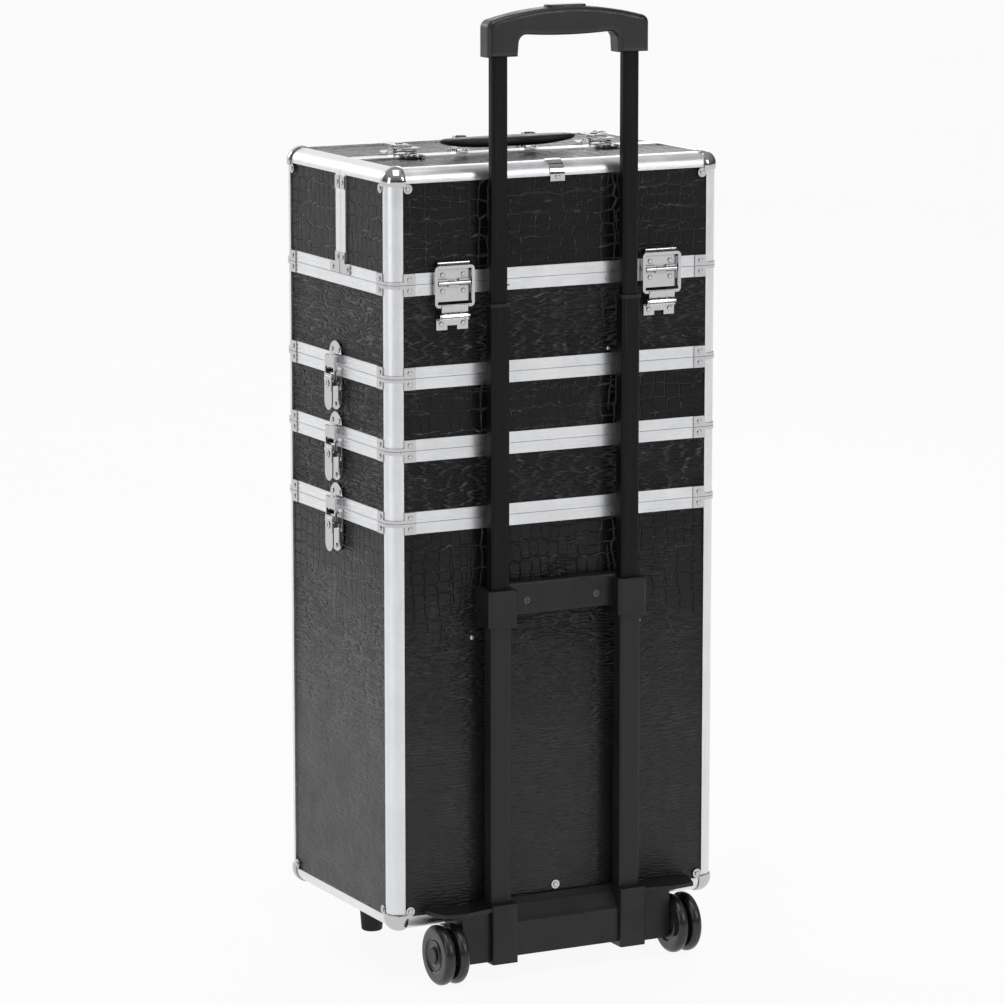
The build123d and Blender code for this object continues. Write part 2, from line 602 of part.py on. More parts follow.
rear_skin = rear_lid.hull(SKIN_T) - rear_lid.hull(PIECE_GAP)
edge_clip = rear_skin & block(-EDGE_CLIP_W / 2, EDGE_CLIP_W / 2, HALF_D - PROFILE_LEG - 2, HALF_D + 5,
                              TOP_Z - PROFILE_LEG - 5, TOP_Z + 5)
edge_clip += on_face(rivet(SKIN_T, 0, 0, PIECE_GAP), "back", 0, TOP_Z - PROFILE_LEG - 1)

write("rear_lid_panels", rear_lid.panels())
write("rear_lid_frame", rear_lid.frame())
write("rear_lid_hardware", rear_lid.ball_corners() + rear_lid.braces() + seam_braces(rear_lid) + [edge_clip]
      + [on_top(latch_keeper(TOP_LUG_H), side * TOP_LATCH_X, SEAM_Y) for side in (-1, 1)])
write("rear_lid_hinge_leaves", each_hinge(hinge_upper_leaf(), "back"))
write("front_lid_panels", front_lid.panels())
write("front_lid_frame", front_lid.frame())
write("front_lid_hardware", front_lid.ball_corners() + front_lid.braces() + seam_braces(front_lid)
      + [on_top(latch_base(), side * TOP_LATCH_X, SEAM_Y) for side in (-1, 1)])
write("front_lid_hinge_leaves", each_hinge(hinge_upper_leaf(), "front"))
write("rear_lid_stays", each_hinge(lid_stay(), "back"))
write("front_lid_stays", each_hinge(lid_stay(), "front"))

for level, joint in (("lower", JOINT_1), ("middle", JOINT_2), ("upper", JOINT_3)):
    for face in ("left", "right"):
        write(f"{level}_{face}_latch_lever", [on_face(latch_lever(), face, 0, joint)])
        write(f"{level}_{face}_latch_yoke", [on_face(latch_yoke(), face, 0, joint)])
for face, side in (("left", -1), ("right", 1)):
    write(f"lid_{face}_latch_lever", [on_top(latch_lever(), side * TOP_LATCH_X, SEAM_Y)])
    write(f"lid_{face}_latch_yoke", [on_top(latch_yoke(), side * TOP_LATCH_X, SEAM_Y)])


# ---- carry handle on the front lid ----
def carry_handle():
    half, tip, end = HANDLE_W / 2, HANDLE_TIP_W / 2, HANDLE_L / 2
    outline = (ThreePointArc((-end, -tip), (0, -half), (end, -tip)) + Line((end, -tip), (end, tip))
               + ThreePointArc((end, tip), (0, half), (-end, tip)) + Line((-end, tip), (-end, -tip)))
    grip = extrude(make_face(outline), HANDLE_T)
    grip = fillet(grip.edges().filter_by(Axis.Z), HANDLE_TIP_R)
    flats = grip.faces().sort_by(Axis.Z)
    grip = fillet(flats[0].edges() + flats[-1].edges(), HANDLE_EDGE_R)
    grip = Pos(0, HANDLE_PIVOT_Y + HANDLE_REACH, TOP_Z + HANDLE_PIVOT_N - HANDLE_T / 2) * grip
    for side in (-1, 1):
        x = sorted((side * (HANDLE_ARM_X - HANDLE_ARM_W / 2), side * (HANDLE_ARM_X + HANDLE_ARM_W / 2)))
        z = TOP_Z + HANDLE_PIVOT_N
        grip += block(*x, HANDLE_PIVOT_Y, HANDLE_PIVOT_Y + HANDLE_REACH - tip, z - 3, z + 3)
        grip += rod_x(HANDLE_EYE_R, HANDLE_PIVOT_Y, z, *x)
        grip -= rod_x(PIN_R + PIN_CLEARANCE, HANDLE_PIVOT_Y, z, x[0] - 1, x[1] + 1)
    return grip


def handle_bracket():
    """Stamped bracket with two ears and a pin; drawn at X = 0, top profile face at Z = 0."""
    seat = PANEL_SEAT
    ear_in = HANDLE_ARM_W / 2 + 0.5
    piece = block(-ear_in - 5, ear_in + 5, HANDLE_PIVOT_Y - 8, HANDLE_PIVOT_Y + 6, seat, seat + SHEET)
    for side in (-1, 1):
        ear = sorted((side * ear_in, side * (ear_in + 1.6)))
        piece += block(*ear, HANDLE_PIVOT_Y - 4, HANDLE_PIVOT_Y + 4, seat, HANDLE_PIVOT_N)
        piece += rod_x(4.0, HANDLE_PIVOT_Y, HANDLE_PIVOT_N, *ear)
        head = fillet(Cylinder(RIVET_R * 0.8, RIVET_H).edges().group_by(Axis.Z)[-1], RIVET_H * 0.6)
        piece += Pos(side * (ear_in + 3.6), HANDLE_PIVOT_Y - 5.5, seat + SHEET + RIVET_H / 2) * head
    return piece + rod_x(PIN_R, HANDLE_PIVOT_Y, HANDLE_PIVOT_N, -ear_in - 1.6, ear_in + 1.6)


write("carry_handle", [carry_handle()])
write("carry_handle_brackets", [Pos(side * HANDLE_ARM_X, 0, TOP_Z) * handle_bracket() for side in (-1, 1)])


# ---- pull handle ----
def tube_solid(width, depth, z0, z1, corner):
    body = block(-width / 2, width / 2, -depth / 2, depth / 2, z0, z1)
    return fillet(body.edges().filter_by(Axis.Z), corner)


def tube(width, depth, z0, z1):
    inner = tube_solid(width - 2 * TUBE_WALL, depth - 2 * TUBE_WALL, z0 - 1, z1 + 1, TUBE_CORNER_R - TUBE_WALL)
    return tube_solid(width, depth, z0, z1, TUBE_CORNER_R) - inner


def at_tubes(shape):
    return [Pos(side * TUBE_X, HALF_D + TUBE_N, 0) * shape for side in (-1, 1)]


STEP_IN = 2 * (TUBE_WALL + TUBE_GAP)
MID_TUBE_W, MID_TUBE_D = OUTER_TUBE_W - STEP_IN, OUTER_TUBE_D - STEP_IN
INNER_TUBE_W, INNER_TUBE_D = MID_TUBE_W - STEP_IN, MID_TUBE_D - STEP_IN

write("outer_tubes", at_tubes(tube(OUTER_TUBE_W, OUTER_TUBE_D, OUTER_TUBE_Z0, OUTER_TUBE_Z1)))
write("mid_tubes", at_tubes(tube(MID_TUBE_W, MID_TUBE_D, MID_TUBE_Z0, MID_TUBE_Z1)))
write("inner_tubes", at_tubes(tube(INNER_TUBE_W, INNER_TUBE_D, INNER_TUBE_Z0, INNER_TUBE_Z1)))

ring_hole = tube_solid(INNER_TUBE_W + 2 * TUBE_GAP, INNER_TUBE_D + 2 * TUBE_GAP,
                       MID_TUBE_Z1 - 1, MID_TUBE_Z1 + MID_RING_H + 1, TUBE_CORNER_R)
ring = tube_solid(MID_TUBE_W + MID_RING_PROUD, MID_TUBE_D + MID_RING_PROUD,
                  MID_TUBE_Z1 + PIECE_GAP, MID_TUBE_Z1 + MID_RING_H, TUBE_CORNER_R)
write("mid_tube_rings", at_tubes(ring - ring_hole))


def glide(width, depth, tube_z0):
    """Plastic foot plugged into a tube's lower end."""
    foot = tube_solid(width, depth, tube_z0 - GLIDE_H, tube_z0 - PIECE_GAP, TUBE_CORNER_R)
    plug = tube_solid(width - 2 * TUBE_WALL - 0.1, depth - 2 * TUBE_WALL - 0.1,
                      tube_z0 - GLIDE_H, tube_z0 + GLIDE_H, TUBE_CORNER_R - TUBE_WALL)
    return foot + plug


write("tube_glides_mid", at_tubes(glide(MID_TUBE_W, MID_TUBE_D, MID_TUBE_Z0)
                                  - tube_solid(INNER_TUBE_W - 3, INNER_TUBE_D - 3, 0, TOP_Z, 1)))
write("tube_glides_inner", at_tubes(glide(INNER_TUBE_W, INNER_TUBE_D, INNER_TUBE_Z0)))
write("release_rods", at_tubes(rod_z(RELEASE_ROD_R, 0, 0, INNER_TUBE_Z0 + GLIDE_H, INNER_TUBE_Z1)))


def pull_grip():
    wide, foot, opening = GRIP_HALF_W, GRIP_OPENING_HALF_W + GRIP_LEG_DRAFT, GRIP_OPENING_HALF_W
    outline = (ThreePointArc((-wide, GRIP_SHOULDER_Z), (0, GRIP_TOP_Z), (wide, GRIP_SHOULDER_Z))
               + Polyline((wide, GRIP_SHOULDER_Z), (wide, GRIP_Z0), (foot, GRIP_Z0), (opening, GRIP_OPENING_Z))
               + ThreePointArc((opening, GRIP_OPENING_Z), (0, GRIP_BELLY_Z), (-opening, GRIP_OPENING_Z))
               + Polyline((-opening, GRIP_OPENING_Z), (-foot, GRIP_Z0), (-wide, GRIP_Z0), (-wide, GRIP_SHOULDER_Z)))
    body = extrude(Plane.XZ * make_face(outline), -(GRIP_N1 - GRIP_N0))
    body = Pos(0, HALF_D + GRIP_N0, 0) * body
    cross = [edge for edge in body.edges().filter_by(Axis.Y) if abs(edge.center().X) > GRIP_OPENING_HALF_W - 1
             and edge.center().Z > GRIP_Z0 + 1]
    body = fillet(cross, GRIP_SHOULDER_R)
    front_and_back = body.faces().filter_by(Axis.Y)
    body = fillet([edge for face in front_and_back for edge in face.edges()], GRIP_ROUND)
    socket = tube_solid(INNER_TUBE_W + 0.2, INNER_TUBE_D + 0.2,
                        GRIP_Z0 - 5, INNER_TUBE_Z1 + PIECE_GAP, TUBE_CORNER_R)
    for place in at_tubes(socket):
        body -= place
    pocket_z0 = GRIP_TOP_Z - BUTTON_TRAVEL - BUTTON_H
    middle = HALF_D + (GRIP_N0 + GRIP_N1) / 2
    pocket = block(-BUTTON_L / 2 - BUTTON_GAP, BUTTON_L / 2 + BUTTON_GAP,
                   middle - BUTTON_D / 2 - BUTTON_GAP, middle + BUTTON_D / 2 + BUTTON_GAP, pocket_z0, GRIP_TOP_Z + 5)
    return body - fillet(pocket.edges().filter_by(Axis.Z), 4 + BUTTON_GAP)


def release_button():
    middle = HALF_D + (GRIP_N0 + GRIP_N1) / 2
    body = block(-BUTTON_L / 2, BUTTON_L / 2, middle - BUTTON_D / 2, middle + BUTTON_D / 2,
                 GRIP_TOP_Z + BUTTON_PROUD - BUTTON_H, GRIP_TOP_Z + BUTTON_PROUD)
    body = fillet(body.edges().filter_by(Axis.Z), 4)
    return fillet(body.faces().sort_by(Axis.Z)[-1].edges(), 1.5)


write("pull_grip", [pull_grip()])
write("release_button", [release_button()])


# ---- collar that guides the tubes ----
def tube_collar():
    seat = HALF_D - PANEL_RECESS + PIECE_GAP
    half = COLLAR_W / 2
    piece = block(-TUBE_X, TUBE_X, seat, HALF_D + BRIDGE_N, BRIDGE_Z0, BRIDGE_Z1)
    piece = fillet(piece.edges().filter_by(Axis.X).group_by(Axis.Y)[-1], 3)
    for side in (-1, 1):
        middle = side * TUBE_X
        sleeve = block(middle - half, middle + half, seat, HALF_D + COLLAR_N, COLLAR_Z0, COLLAR_Z1)
        sleeve = fillet(sleeve.edges().filter_by(Axis.Z).group_by(Axis.Y)[-1], 4)
        piece += fillet(sleeve.edges().group_by(Axis.Z)[-1].filter_by(Axis.X), 1.5)
    for place in at_tubes(tube_solid(OUTER_TUBE_W + 0.1, OUTER_TUBE_D + 0.1, COLLAR_Z0 - 10,
                                     OUTER_TUBE_Z1 + PIECE_GAP, TUBE_CORNER_R)
                          + tube_solid(MID_TUBE_W + 2 * TUBE_GAP, MID_TUBE_D + 2 * TUBE_GAP,
                                       COLLAR_Z0, BRIDGE_Z1 + 10, TUBE_CORNER_R)):
        piece -= place
    for side in (-1, 1):
        piece -= rod_y(3.6, side * COLLAR_SCREW_X, COLLAR_SCREW_Z, HALF_D + BRIDGE_N - 2, HALF_D + BRIDGE_N + 5)
    return piece


def trolley_screws():
    pieces = []
    for side in (-1, 1):
        head_y = HALF_D + BRIDGE_N - 2
        head = rod_y(3.4, side * COLLAR_SCREW_X, COLLAR_SCREW_Z, head_y, head_y + 1.4)
        head -= block(side * COLLAR_SCREW_X - 0.5, side * COLLAR_SCREW_X + 0.5, head_y + 0.8, head_y + 2,
                      COLLAR_SCREW_Z - 2, COLLAR_SCREW_Z + 2)
        head -= block(side * COLLAR_SCREW_X - 2, side * COLLAR_SCREW_X + 2, head_y + 0.8, head_y + 2,
                      COLLAR_SCREW_Z - 0.5, COLLAR_SCREW_Z + 0.5)
        pieces.append(head)
        pieces.append(on_face(rivet(PANEL_SEAT + 0.6, 0, 0, PANEL_SEAT), "back", side * PANEL_SCREW_X, PANEL_SCREW_Z))
    return pieces


write("tube_collar", [tube_collar()])
write("trolley_screws", trolley_screws())


# ---- trolley base ----
def trolley_base():
    back = HALF_D
    beam_drop = 15.0
    under_y, under_z = back - BASE_UNDER_Y, UNDERSIDE_Z - BASE_UNDER_T
    section = Polyline((under_y, under_z), (under_y, UNDERSIDE_Z + 1),
                       (back - 2, BASE_TOP_Z - 8), (back - 2, BASE_TOP_Z), (back + 3, BASE_TOP_Z),
                       (back + 10, BASE_TOP_Z - 5), (back + 20, BASE_TOP_Z - beam_drop),
                       (back + 24, BASE_TOP_Z - beam_drop - 3), (back + 24, BASE_BEAM_Z0),
                       (back + 2, BASE_BEAM_Z0), (back - 6, under_z), close=True)
    body = Pos(-SOCKET_X0 - 1, 0, 0) * extrude(Plane.YZ * make_face(section), 2 * SOCKET_X0 + 2)
    for side in (-1, 1):
        across = sorted((side * SOCKET_X0, side * SOCKET_X1))
        socket = block(*across, back - 2, back + SOCKET_N, SOCKET_Z0, BASE_TOP_Z + 1)
        socket = fillet(socket.edges().filter_by(Axis.Z).group_by(Axis.Y)[-1], 2.5)
        bracket = Polyline((under_y, under_z), (under_y, UNDERSIDE_Z + 1), (back - 2, BASE_TOP_Z - 8),
                           (back - 2, BASE_TOP_Z - 1), (back + 23, BASE_TOP_Z - 4), (back + 23, BRACKET_Z0),
                           (back + 5, BRACKET_Z0), (back - 10, under_z), close=True)
        arm = extrude(Plane.YZ * make_face(bracket), BRACKET_X1 - SOCKET_X1 + 1)
        arm = Pos(SOCKET_X1 - 1, 0, 0) * arm
        fender = Polyline((SOCKET_X1 - 1, back - 2), (FENDER_X1, back - 2), (FENDER_X1, back + 6),
                          (FENDER_X1 - 8, back + FENDER_N), (BRACKET_X1, back + FENDER_N + 3),
                          (SOCKET_X1 - 1, back + FENDER_N - 3), close=True)
        plate = Pos(0, 0, BASE_TOP_Z - 1 - FENDER_T) * extrude(make_face(fender), FENDER_T)
        wing = arm + plate
        body += socket
        body += wing if side > 0 else mirrored(wing)
    body -= bottom_case.hull(0.1)
    for place in at_tubes(tube_solid(OUTER_TUBE_W + 0.1, OUTER_TUBE_D + 0.1, OUTER_TUBE_Z0 - PIECE_GAP,
                                     BASE_TOP_Z + 10, TUBE_CORNER_R)):
        body -= place
    for side in (-1, 1):
        body -= rod_x(AXLE_R, back + WHEEL_N, WHEEL_R, *sorted((side * 88, side * 120)))
    return body


def wheel_axle():
    y, z = HALF_D + WHEEL_N, WHEEL_R
    tip = WHEEL_OUTER_X + WHEEL_T
    piece = rod_x(AXLE_R, y, z, 88, tip + 0.6)
    piece += rod_x(AXLE_R + 3, y, z, WHEEL_INNER_X + WHEEL_T + 0.4, WHEEL_OUTER_X - 0.4)
    head = rod_x(AXLE_HEAD_R, y, z, tip + 0.4, tip + 0.4 + AXLE_HEAD_T)
    return piece + fillet(head.edges().group_by(Axis.X)[-1], 0.8)


def wheel(x0):
    y, z = HALF_D + WHEEL_N, WHEEL_R
    body = rod_x(WHEEL_R, y, z, x0, x0 + WHEEL_T)
    body = fillet(body.edges().filter_by(GeomType.CIRCLE), WHEEL_ROUND)
    for face_x, inwards in ((x0, 1), (x0 + WHEEL_T, -1)):
        ring_x = sorted((face_x - inwards, face_x + inwards * 1.2))
        body -= rod_x(16.5, y, z, *ring_x) - rod_x(14.0, y, z, *ring_x)
    return body - rod_x(AXLE_R + AXLE_CLEARANCE, y, z, x0 - 1, x0 + WHEEL_T + 1)


write("trolley_base", [trolley_base()])
write("wheel_axles", both_sides(wheel_axle()))
for name, shape in (("inner", wheel(WHEEL_INNER_X)), ("outer", wheel(WHEEL_OUTER_X))):
    write(f"right_{name}_wheel", [shape])
    write(f"left_{name}_wheel", [mirrored(shape)])


# ---- front feet ----
def front_foot():
    height = UNDERSIDE_Z + PANEL_RECESS - PIECE_GAP
    body = Pos(FOOT_X, FOOT_Y, height / 2) * Cone(FOOT_BOTTOM_R, FOOT_TOP_R, height)
    return fillet(body.edges().group_by(Axis.Z)[0], 2)


write("front_feet", both_sides(front_foot()))
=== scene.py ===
import math

import bmesh
import bpy
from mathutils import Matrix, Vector


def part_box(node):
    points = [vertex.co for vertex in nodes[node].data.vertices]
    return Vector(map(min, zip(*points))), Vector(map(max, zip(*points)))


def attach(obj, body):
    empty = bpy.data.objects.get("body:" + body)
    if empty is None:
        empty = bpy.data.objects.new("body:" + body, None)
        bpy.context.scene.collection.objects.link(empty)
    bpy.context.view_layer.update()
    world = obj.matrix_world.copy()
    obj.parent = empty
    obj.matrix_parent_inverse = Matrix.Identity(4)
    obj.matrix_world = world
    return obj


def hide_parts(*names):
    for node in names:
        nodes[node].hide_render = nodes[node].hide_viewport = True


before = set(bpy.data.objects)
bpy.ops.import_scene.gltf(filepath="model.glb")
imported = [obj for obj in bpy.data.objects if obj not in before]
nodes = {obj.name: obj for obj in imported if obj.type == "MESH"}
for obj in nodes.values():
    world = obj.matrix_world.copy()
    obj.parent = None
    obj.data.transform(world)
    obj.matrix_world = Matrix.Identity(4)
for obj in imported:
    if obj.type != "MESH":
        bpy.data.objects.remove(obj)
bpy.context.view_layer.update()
MM = 0.001

# ---- places read from the frame ----
CASE_LO, CASE_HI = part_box("bottom_case_frame")
LID_TOP_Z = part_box("rear_lid_frame")[1].z
CASE_MID_Y = (CASE_LO.y + CASE_HI.y) / 2
BACK_Y = CASE_HI.y
OUTER_TUBE_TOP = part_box("outer_tubes")[1].z
# The undersides of the four sections above the bottom case, from the lowest up.
JOINT_Z = [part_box(node)[0].z for node in
           ("lower_tray_frame", "upper_tray_frame", "top_case_frame", "rear_lid_frame")]

# ---- sizes in metres ----
POST_REACH = 0.0138         # how far in from a corner of the case its post goes
LINING_INSET = 0.004        # a panel face this far inside its section's frame is lined
COLLAR_SCREW_REACH = 0.06   # the collar screws lie closer than this to the middle
STAY_X = 0.107
FLOOR_SIZE = 60.0
FLOOR_DROP = 0.0004

# ---- sizes in millimetres ----
WHEEL_BORE = 4.1
TYRE_SHOULDER = 4.9
CARRY_EYE_R = 4.0
CARRY_GRIP_HALF_W = 12.0
CARRY_TIP_R = 9.0
CARRY_ARM_X = 36.0
VALANCE_RIVET_X, VALANCE_RIVET_DROP, VALANCE_RIVET_R, VALANCE_RIVET_SUNK = 50.0, 6.0, 1.1, 0.2
PANEL_RIVET_X, PANEL_RIVET_RISE, PANEL_RIVET_R, PANEL_RIVET_SUNK = 54.5, 14.0, 1.5, 1.75
# A stay's plate: (out from the case's face, up from the top case's rim), then the points across it.
STAY_DISH_DEPTH = [(6.7, -20.2), (5.9, -21.2), (5.45, -22.8), (5.3, -24.6), (5.32, -26.4), (5.5, -28.2),
                   (5.9, -30.0), (6.7, -31.8), (7.5, -32.6)]
STAY_DISH_ACROSS = (-13.4, -12.9, -8.0, 0.0, 8.0, 12.9, 13.4)
STAY_SHEET = 0.6

# ---- counts ----
RING_POINTS = 28
GRIP_STEPS = 24
ARM_STEPS = 8

# How blocky the leather's scales are: (share of the height up to the lids' top, share).
BLOCKY_BANDS = [(0.0, 0.0), (0.38, 0.02), (0.46, 0.52), (0.555, 0.86), (0.575, 0.20), (0.655, 0.25),
                (0.665, 0.80), (0.745, 0.78), (0.755, 0.20), (0.855, 0.22), (0.87, 0.92), (1.0, 0.95)]


# ---- shader building ----
class Shader:
    """A Principled material with short ways to add procedural nodes."""

    def __init__(self, name, color, metallic=0.0, roughness=0.5, specular=0.5):
        self.material = bpy.data.materials.new(name)
        self.material.use_nodes = True
        self.tree = self.material.node_tree
        self.bsdf = self.tree.nodes["Principled BSDF"]
        self.set("Base Color", (*color, 1.0))
        self.set("Metallic", metallic)
        self.set("Roughness", roughness)
        self.set("Specular IOR Level", specular)
        self.coords = self.tree.nodes.new("ShaderNodeTexCoord")

    def set(self, socket, value):
        if isinstance(value, bpy.types.NodeSocket):
            self.tree.links.new(value, self.bsdf.inputs[socket])
        else:
            self.bsdf.inputs[socket].default_value = value

    def node(self, kind, inputs=None, **settings):
        made = self.tree.nodes.new("ShaderNode" + kind)
        for key, value in settings.items():
            setattr(made, key, value)
        for key, value in (inputs or {}).items():
            self.feed(made.inputs[key], value)
        return made

    def feed(self, socket, value):
        if isinstance(value, bpy.types.NodeSocket):
            self.tree.links.new(value, socket)
        elif value is not None:
            socket.default_value = value

    def place(self):
        return self.coords.outputs["Object"]

    def math(self, operation, a, b=None, c=None):
        return self.node("Math", {0: a, 1: b, 2: c}, operation=operation).outputs[0]

    def vector(self, operation, a, b=None):
        made = self.node("VectorMath", {0: a}, operation=operation)
        if b is not None:
            if operation == "SCALE":
                self.feed(made.inputs["Scale"], b)
            else:
                self.feed(made.inputs[1], b)
        return made.outputs["Value" if operation in ("LENGTH", "DOT_PRODUCT") else "Vector"]

    def split(self, vector):
        return self.node("SeparateXYZ", {0: vector}).outputs

    def join(self, x, y, z=0.0):
        return self.node("CombineXYZ", {0: x, 1: y, 2: z}).outputs[0]

    def span(self, value, low, high, start=0.0, end=1.0, smooth=True):
        """value from low..high to start..end, clamped."""
        made = self.node("MapRange", {0: value, 1: low, 2: high, 3: start, 4: end},
                         interpolation_type="SMOOTHSTEP" if smooth else "LINEAR")
        return made.outputs[0]

    def noise(self, scale, detail=2.0, rough=0.5, at=None, stretch=None, distortion=0.0):
        place = self.place() if at is None else at
        if stretch is not None:
            place = self.vector("MULTIPLY", place, stretch)
        made = self.node("TexNoise", {"Vector": place, "Scale": scale, "Detail": detail,
                                      "Roughness": rough, "Distortion": distortion})
        return made.outputs[0]

    def blend(self, share, a, b):
        """Numbers mixed by share."""
        return self.node("Mix", {0: share, 2: a, 3: b}, data_type="FLOAT").outputs[0]

    def colors(self, share, a, b):
        """Colours mixed by share."""
        made = self.node("Mix", {0: share}, data_type="RGBA")
        for socket, value in ((made.inputs[6], a), (made.inputs[7], b)):
            self.feed(socket, value if isinstance(value, bpy.types.NodeSocket) else (*value, 1.0))
        return made.outputs[2]

    def bump(self, height, distance, strength):
        return self.node("Bump", {"Height": height, "Distance": distance, "Strength": strength}).outputs[0]

    def edges(self, radius):
        """About 1 on a convex edge and 0 on a flat face."""
        round_normal = self.node("Bevel", {"Radius": radius}, samples=4).outputs[0]
        plain = self.node("NewGeometry").outputs["Normal"]
        return self.span(self.vector("DOT_PRODUCT", round_normal, plain), 0.98, 0.80)


def face_plane(sh):
    """Across and up whichever face is shaded, whether it is a side face, and the height."""
    x, y, z = sh.split(sh.place())
    nx, _, nz = sh.split(sh.vector("ABSOLUTE", sh.coords.outputs["Normal"]))
    on_x = sh.math("GREATER_THAN", nx, 0.7)
    on_z = sh.math("GREATER_THAN", nz, 0.7)
    across = sh.blend(on_x, x, y)
    up = sh.blend(on_z, z, y)
    return across, up, on_x, z


def leather():
    """Crocodile-embossed vinyl: blocky scales in bands, finer level wrinkles between and below them."""
    sh = Shader("crocodile_vinyl", (0.012, 0.012, 0.014), roughness=0.34, specular=0.34)
    across, up, on_x, z = face_plane(sh)
    flat = sh.join(across, up, sh.math("MULTIPLY", on_x, 3.7))

    bend = sh.node("TexNoise", {"Vector": flat, "Scale": 22.0, "Detail": 2.0})
    bend = sh.vector("SUBTRACT", bend.outputs["Color"], (0.5, 0.5, 0.5))
    bent = sh.vector("ADD", flat, sh.vector("SCALE", bend, 0.014))
    level_bent = sh.vector("ADD", flat, sh.vector("MULTIPLY", bend, (0.010, 0.0045, 0.0)))

    def cells(across_per_m, up_per_m, jitter, line, on=bent):
        place = sh.vector("MULTIPLY", on, (across_per_m, up_per_m, 0.0))
        edge = sh.node("TexVoronoi", {"Vector": place, "Scale": 1.0, "Randomness": jitter},
                       voronoi_dimensions="2D", feature="DISTANCE_TO_EDGE").outputs["Distance"]
        return sh.span(edge, 0.0, line)

    def folds(across_per_m, up_per_m, width, shift):
        """Long wavy creases that follow the level lines of a stretched noise."""
        place = sh.vector("MULTIPLY", sh.vector("ADD", level_bent, shift), (across_per_m, up_per_m, 0.0))
        level = sh.node("TexNoise", {"Vector": place, "Scale": 1.0, "Detail": 1.5, "Roughness": 0.45},
                        noise_dimensions="2D").outputs[0]
        wave = sh.math("PINGPONG", sh.math("MULTIPLY", level, 3.4), 0.5)
        away = sh.math("ABSOLUTE", sh.math("SUBTRACT", wave, 0.25))
        return sh.span(away, 0.0, width)

    scales = cells(72.0, 90.0, 0.26, 0.085)
    long_scales = cells(98.0, 56.0, 0.28, 0.085)
    creases = folds(17.0, 120.0, 0.13, (3.0, 1.0, 0.0))
    wrinkles = sh.math("MINIMUM", creases, cells(26.0, 185.0, 0.72, 0.12, level_bent))
    fine = cells(52.0, 300.0, 0.85, 0.24, level_bent)

    bands = sh.node("ValToRGB", {0: sh.span(z, 0.0, LID_TOP_Z, smooth=False)})
    ramp = bands.color_ramp
    while len(ramp.elements) < len(BLOCKY_BANDS):
        ramp.elements.new(0.5)
    for element, (position, value) in zip(ramp.elements, BLOCKY_BANDS):
        element.position = position
        element.color = (value, value, value, 1.0)
    patch = sh.noise(11.0, 2.0, at=flat)
    blocky = sh.math("ADD", bands.outputs[0], sh.math("MULTIPLY_ADD", patch, 1.6, -0.8))
    blocky = sh.span(blocky, 0.35, 0.65)
    side_of_trays = sh.math("MULTIPLY", on_x, sh.span(z, JOINT_Z[3], JOINT_Z[3] - 0.002))
    side_of_trays = sh.math("MULTIPLY", side_of_trays, sh.span(z, JOINT_Z[0] - 0.002, JOINT_Z[0]))
    blocky = sh.math("MULTIPLY", blocky, sh.span(side_of_trays, 0.0, 1.0, 1.0, 0.35))
    patch_long = sh.span(sh.noise(7.0, 1.0, at=sh.vector("ADD", flat, (4.0, 9.0, 2.0))), 0.46, 0.58)
    big = sh.blend(patch_long, scales, long_scales)
    patch_fine = sh.span(sh.noise(13.0, 2.0, at=sh.vector("ADD", flat, (2.0, 3.0, 7.0))), 0.40, 0.58)
    low = sh.span(z, 0.36, 0.24)
    finer = sh.math("MULTIPLY", sh.math("MAXIMUM", patch_fine, low), sh.span(on_x, 0.0, 1.0, 1.0, 0.15))
    small = sh.blend(finer, wrinkles, fine)
    relief = sh.blend(blocky, small, big)

    depth = sh.blend(blocky, sh.span(z, 0.18, 0.40, 0.13, 0.72), 1.0)
    height = sh.math("MULTIPLY", relief, depth)
    pillow = sh.noise(120.0, 1.0, at=flat)
    height = sh.math("MULTIPLY_ADD", pillow, 0.22, height)
    grain = sh.noise(1500.0, 2.0, at=flat)
    height = sh.math("MULTIPLY_ADD", grain, 0.06, height)
    sh.set("Normal", sh.bump(height, 0.0017, 1.0))

    groove = sh.math("MULTIPLY", sh.math("SUBTRACT", 1.0, relief), depth)
    worn = sh.noise(9.0, 4.0, 0.6)
    shade = sh.colors(sh.span(worn, 0.35, 0.7), (0.0032, 0.0032, 0.0038), (0.0068, 0.0068, 0.0075))
    dusty = sh.span(z, 0.42, 0.06, 0.0, 1.0)
    shade = sh.colors(sh.math("MULTIPLY", dusty, 0.75), shade, (0.012, 0.0125, 0.0135))
    # Painted light: the side faces are painted lighter still towards the bottom, standing in for light thrown
    # up from the floor.
    painted_side_bounce = sh.math("MULTIPLY", sh.math("MULTIPLY", dusty, on_x), 0.8)
    shade = sh.colors(painted_side_bounce, shade, (0.030, 0.031, 0.033))
    # Painted highlights: the groove lines are painted lighter, more so higher up, and bright dashes along the
    # grooves are painted glints.
    lit_line = sh.math("MULTIPLY", groove, sh.span(z, 0.36, 0.52, 0.42, 0.75))
    shade = sh.colors(lit_line, shade, (0.046, 0.046, 0.049))
    dashes = sh.span(sh.noise(1.0, 3.0, 0.7, at=flat, stretch=(70.0, 170.0, 1.0)), 0.56, 0.64)
    glint = sh.math("MULTIPLY", sh.math("MULTIPLY", groove, dashes), sh.span(z, 0.30, 0.46, 0.25, 1.0))
    shade = sh.colors(sh.math("MULTIPLY", glint, 0.7), shade, (0.150, 0.150, 0.155))
    sh.set("Base Color", shade)
    smear = sh.noise(30.0, 5.0, 0.65)
    rough = sh.span(smear, 0.3, 0.75, 0.21, 0.34)
    rough = sh.math("MULTIPLY_ADD", groove, 0.06, rough)
    rough = sh.math("MULTIPLY_ADD", dusty, 0.10, rough)
    sh.set("Roughness", rough)
    gloss = sh.span(z, 0.5, 0.1, 0.21, 0.38)
    sh.set("Specular IOR Level", sh.math("MULTIPLY_ADD", on_x, sh.span(z, 0.45, 0.30, -0.06, 0.03), gloss))
    return sh.material


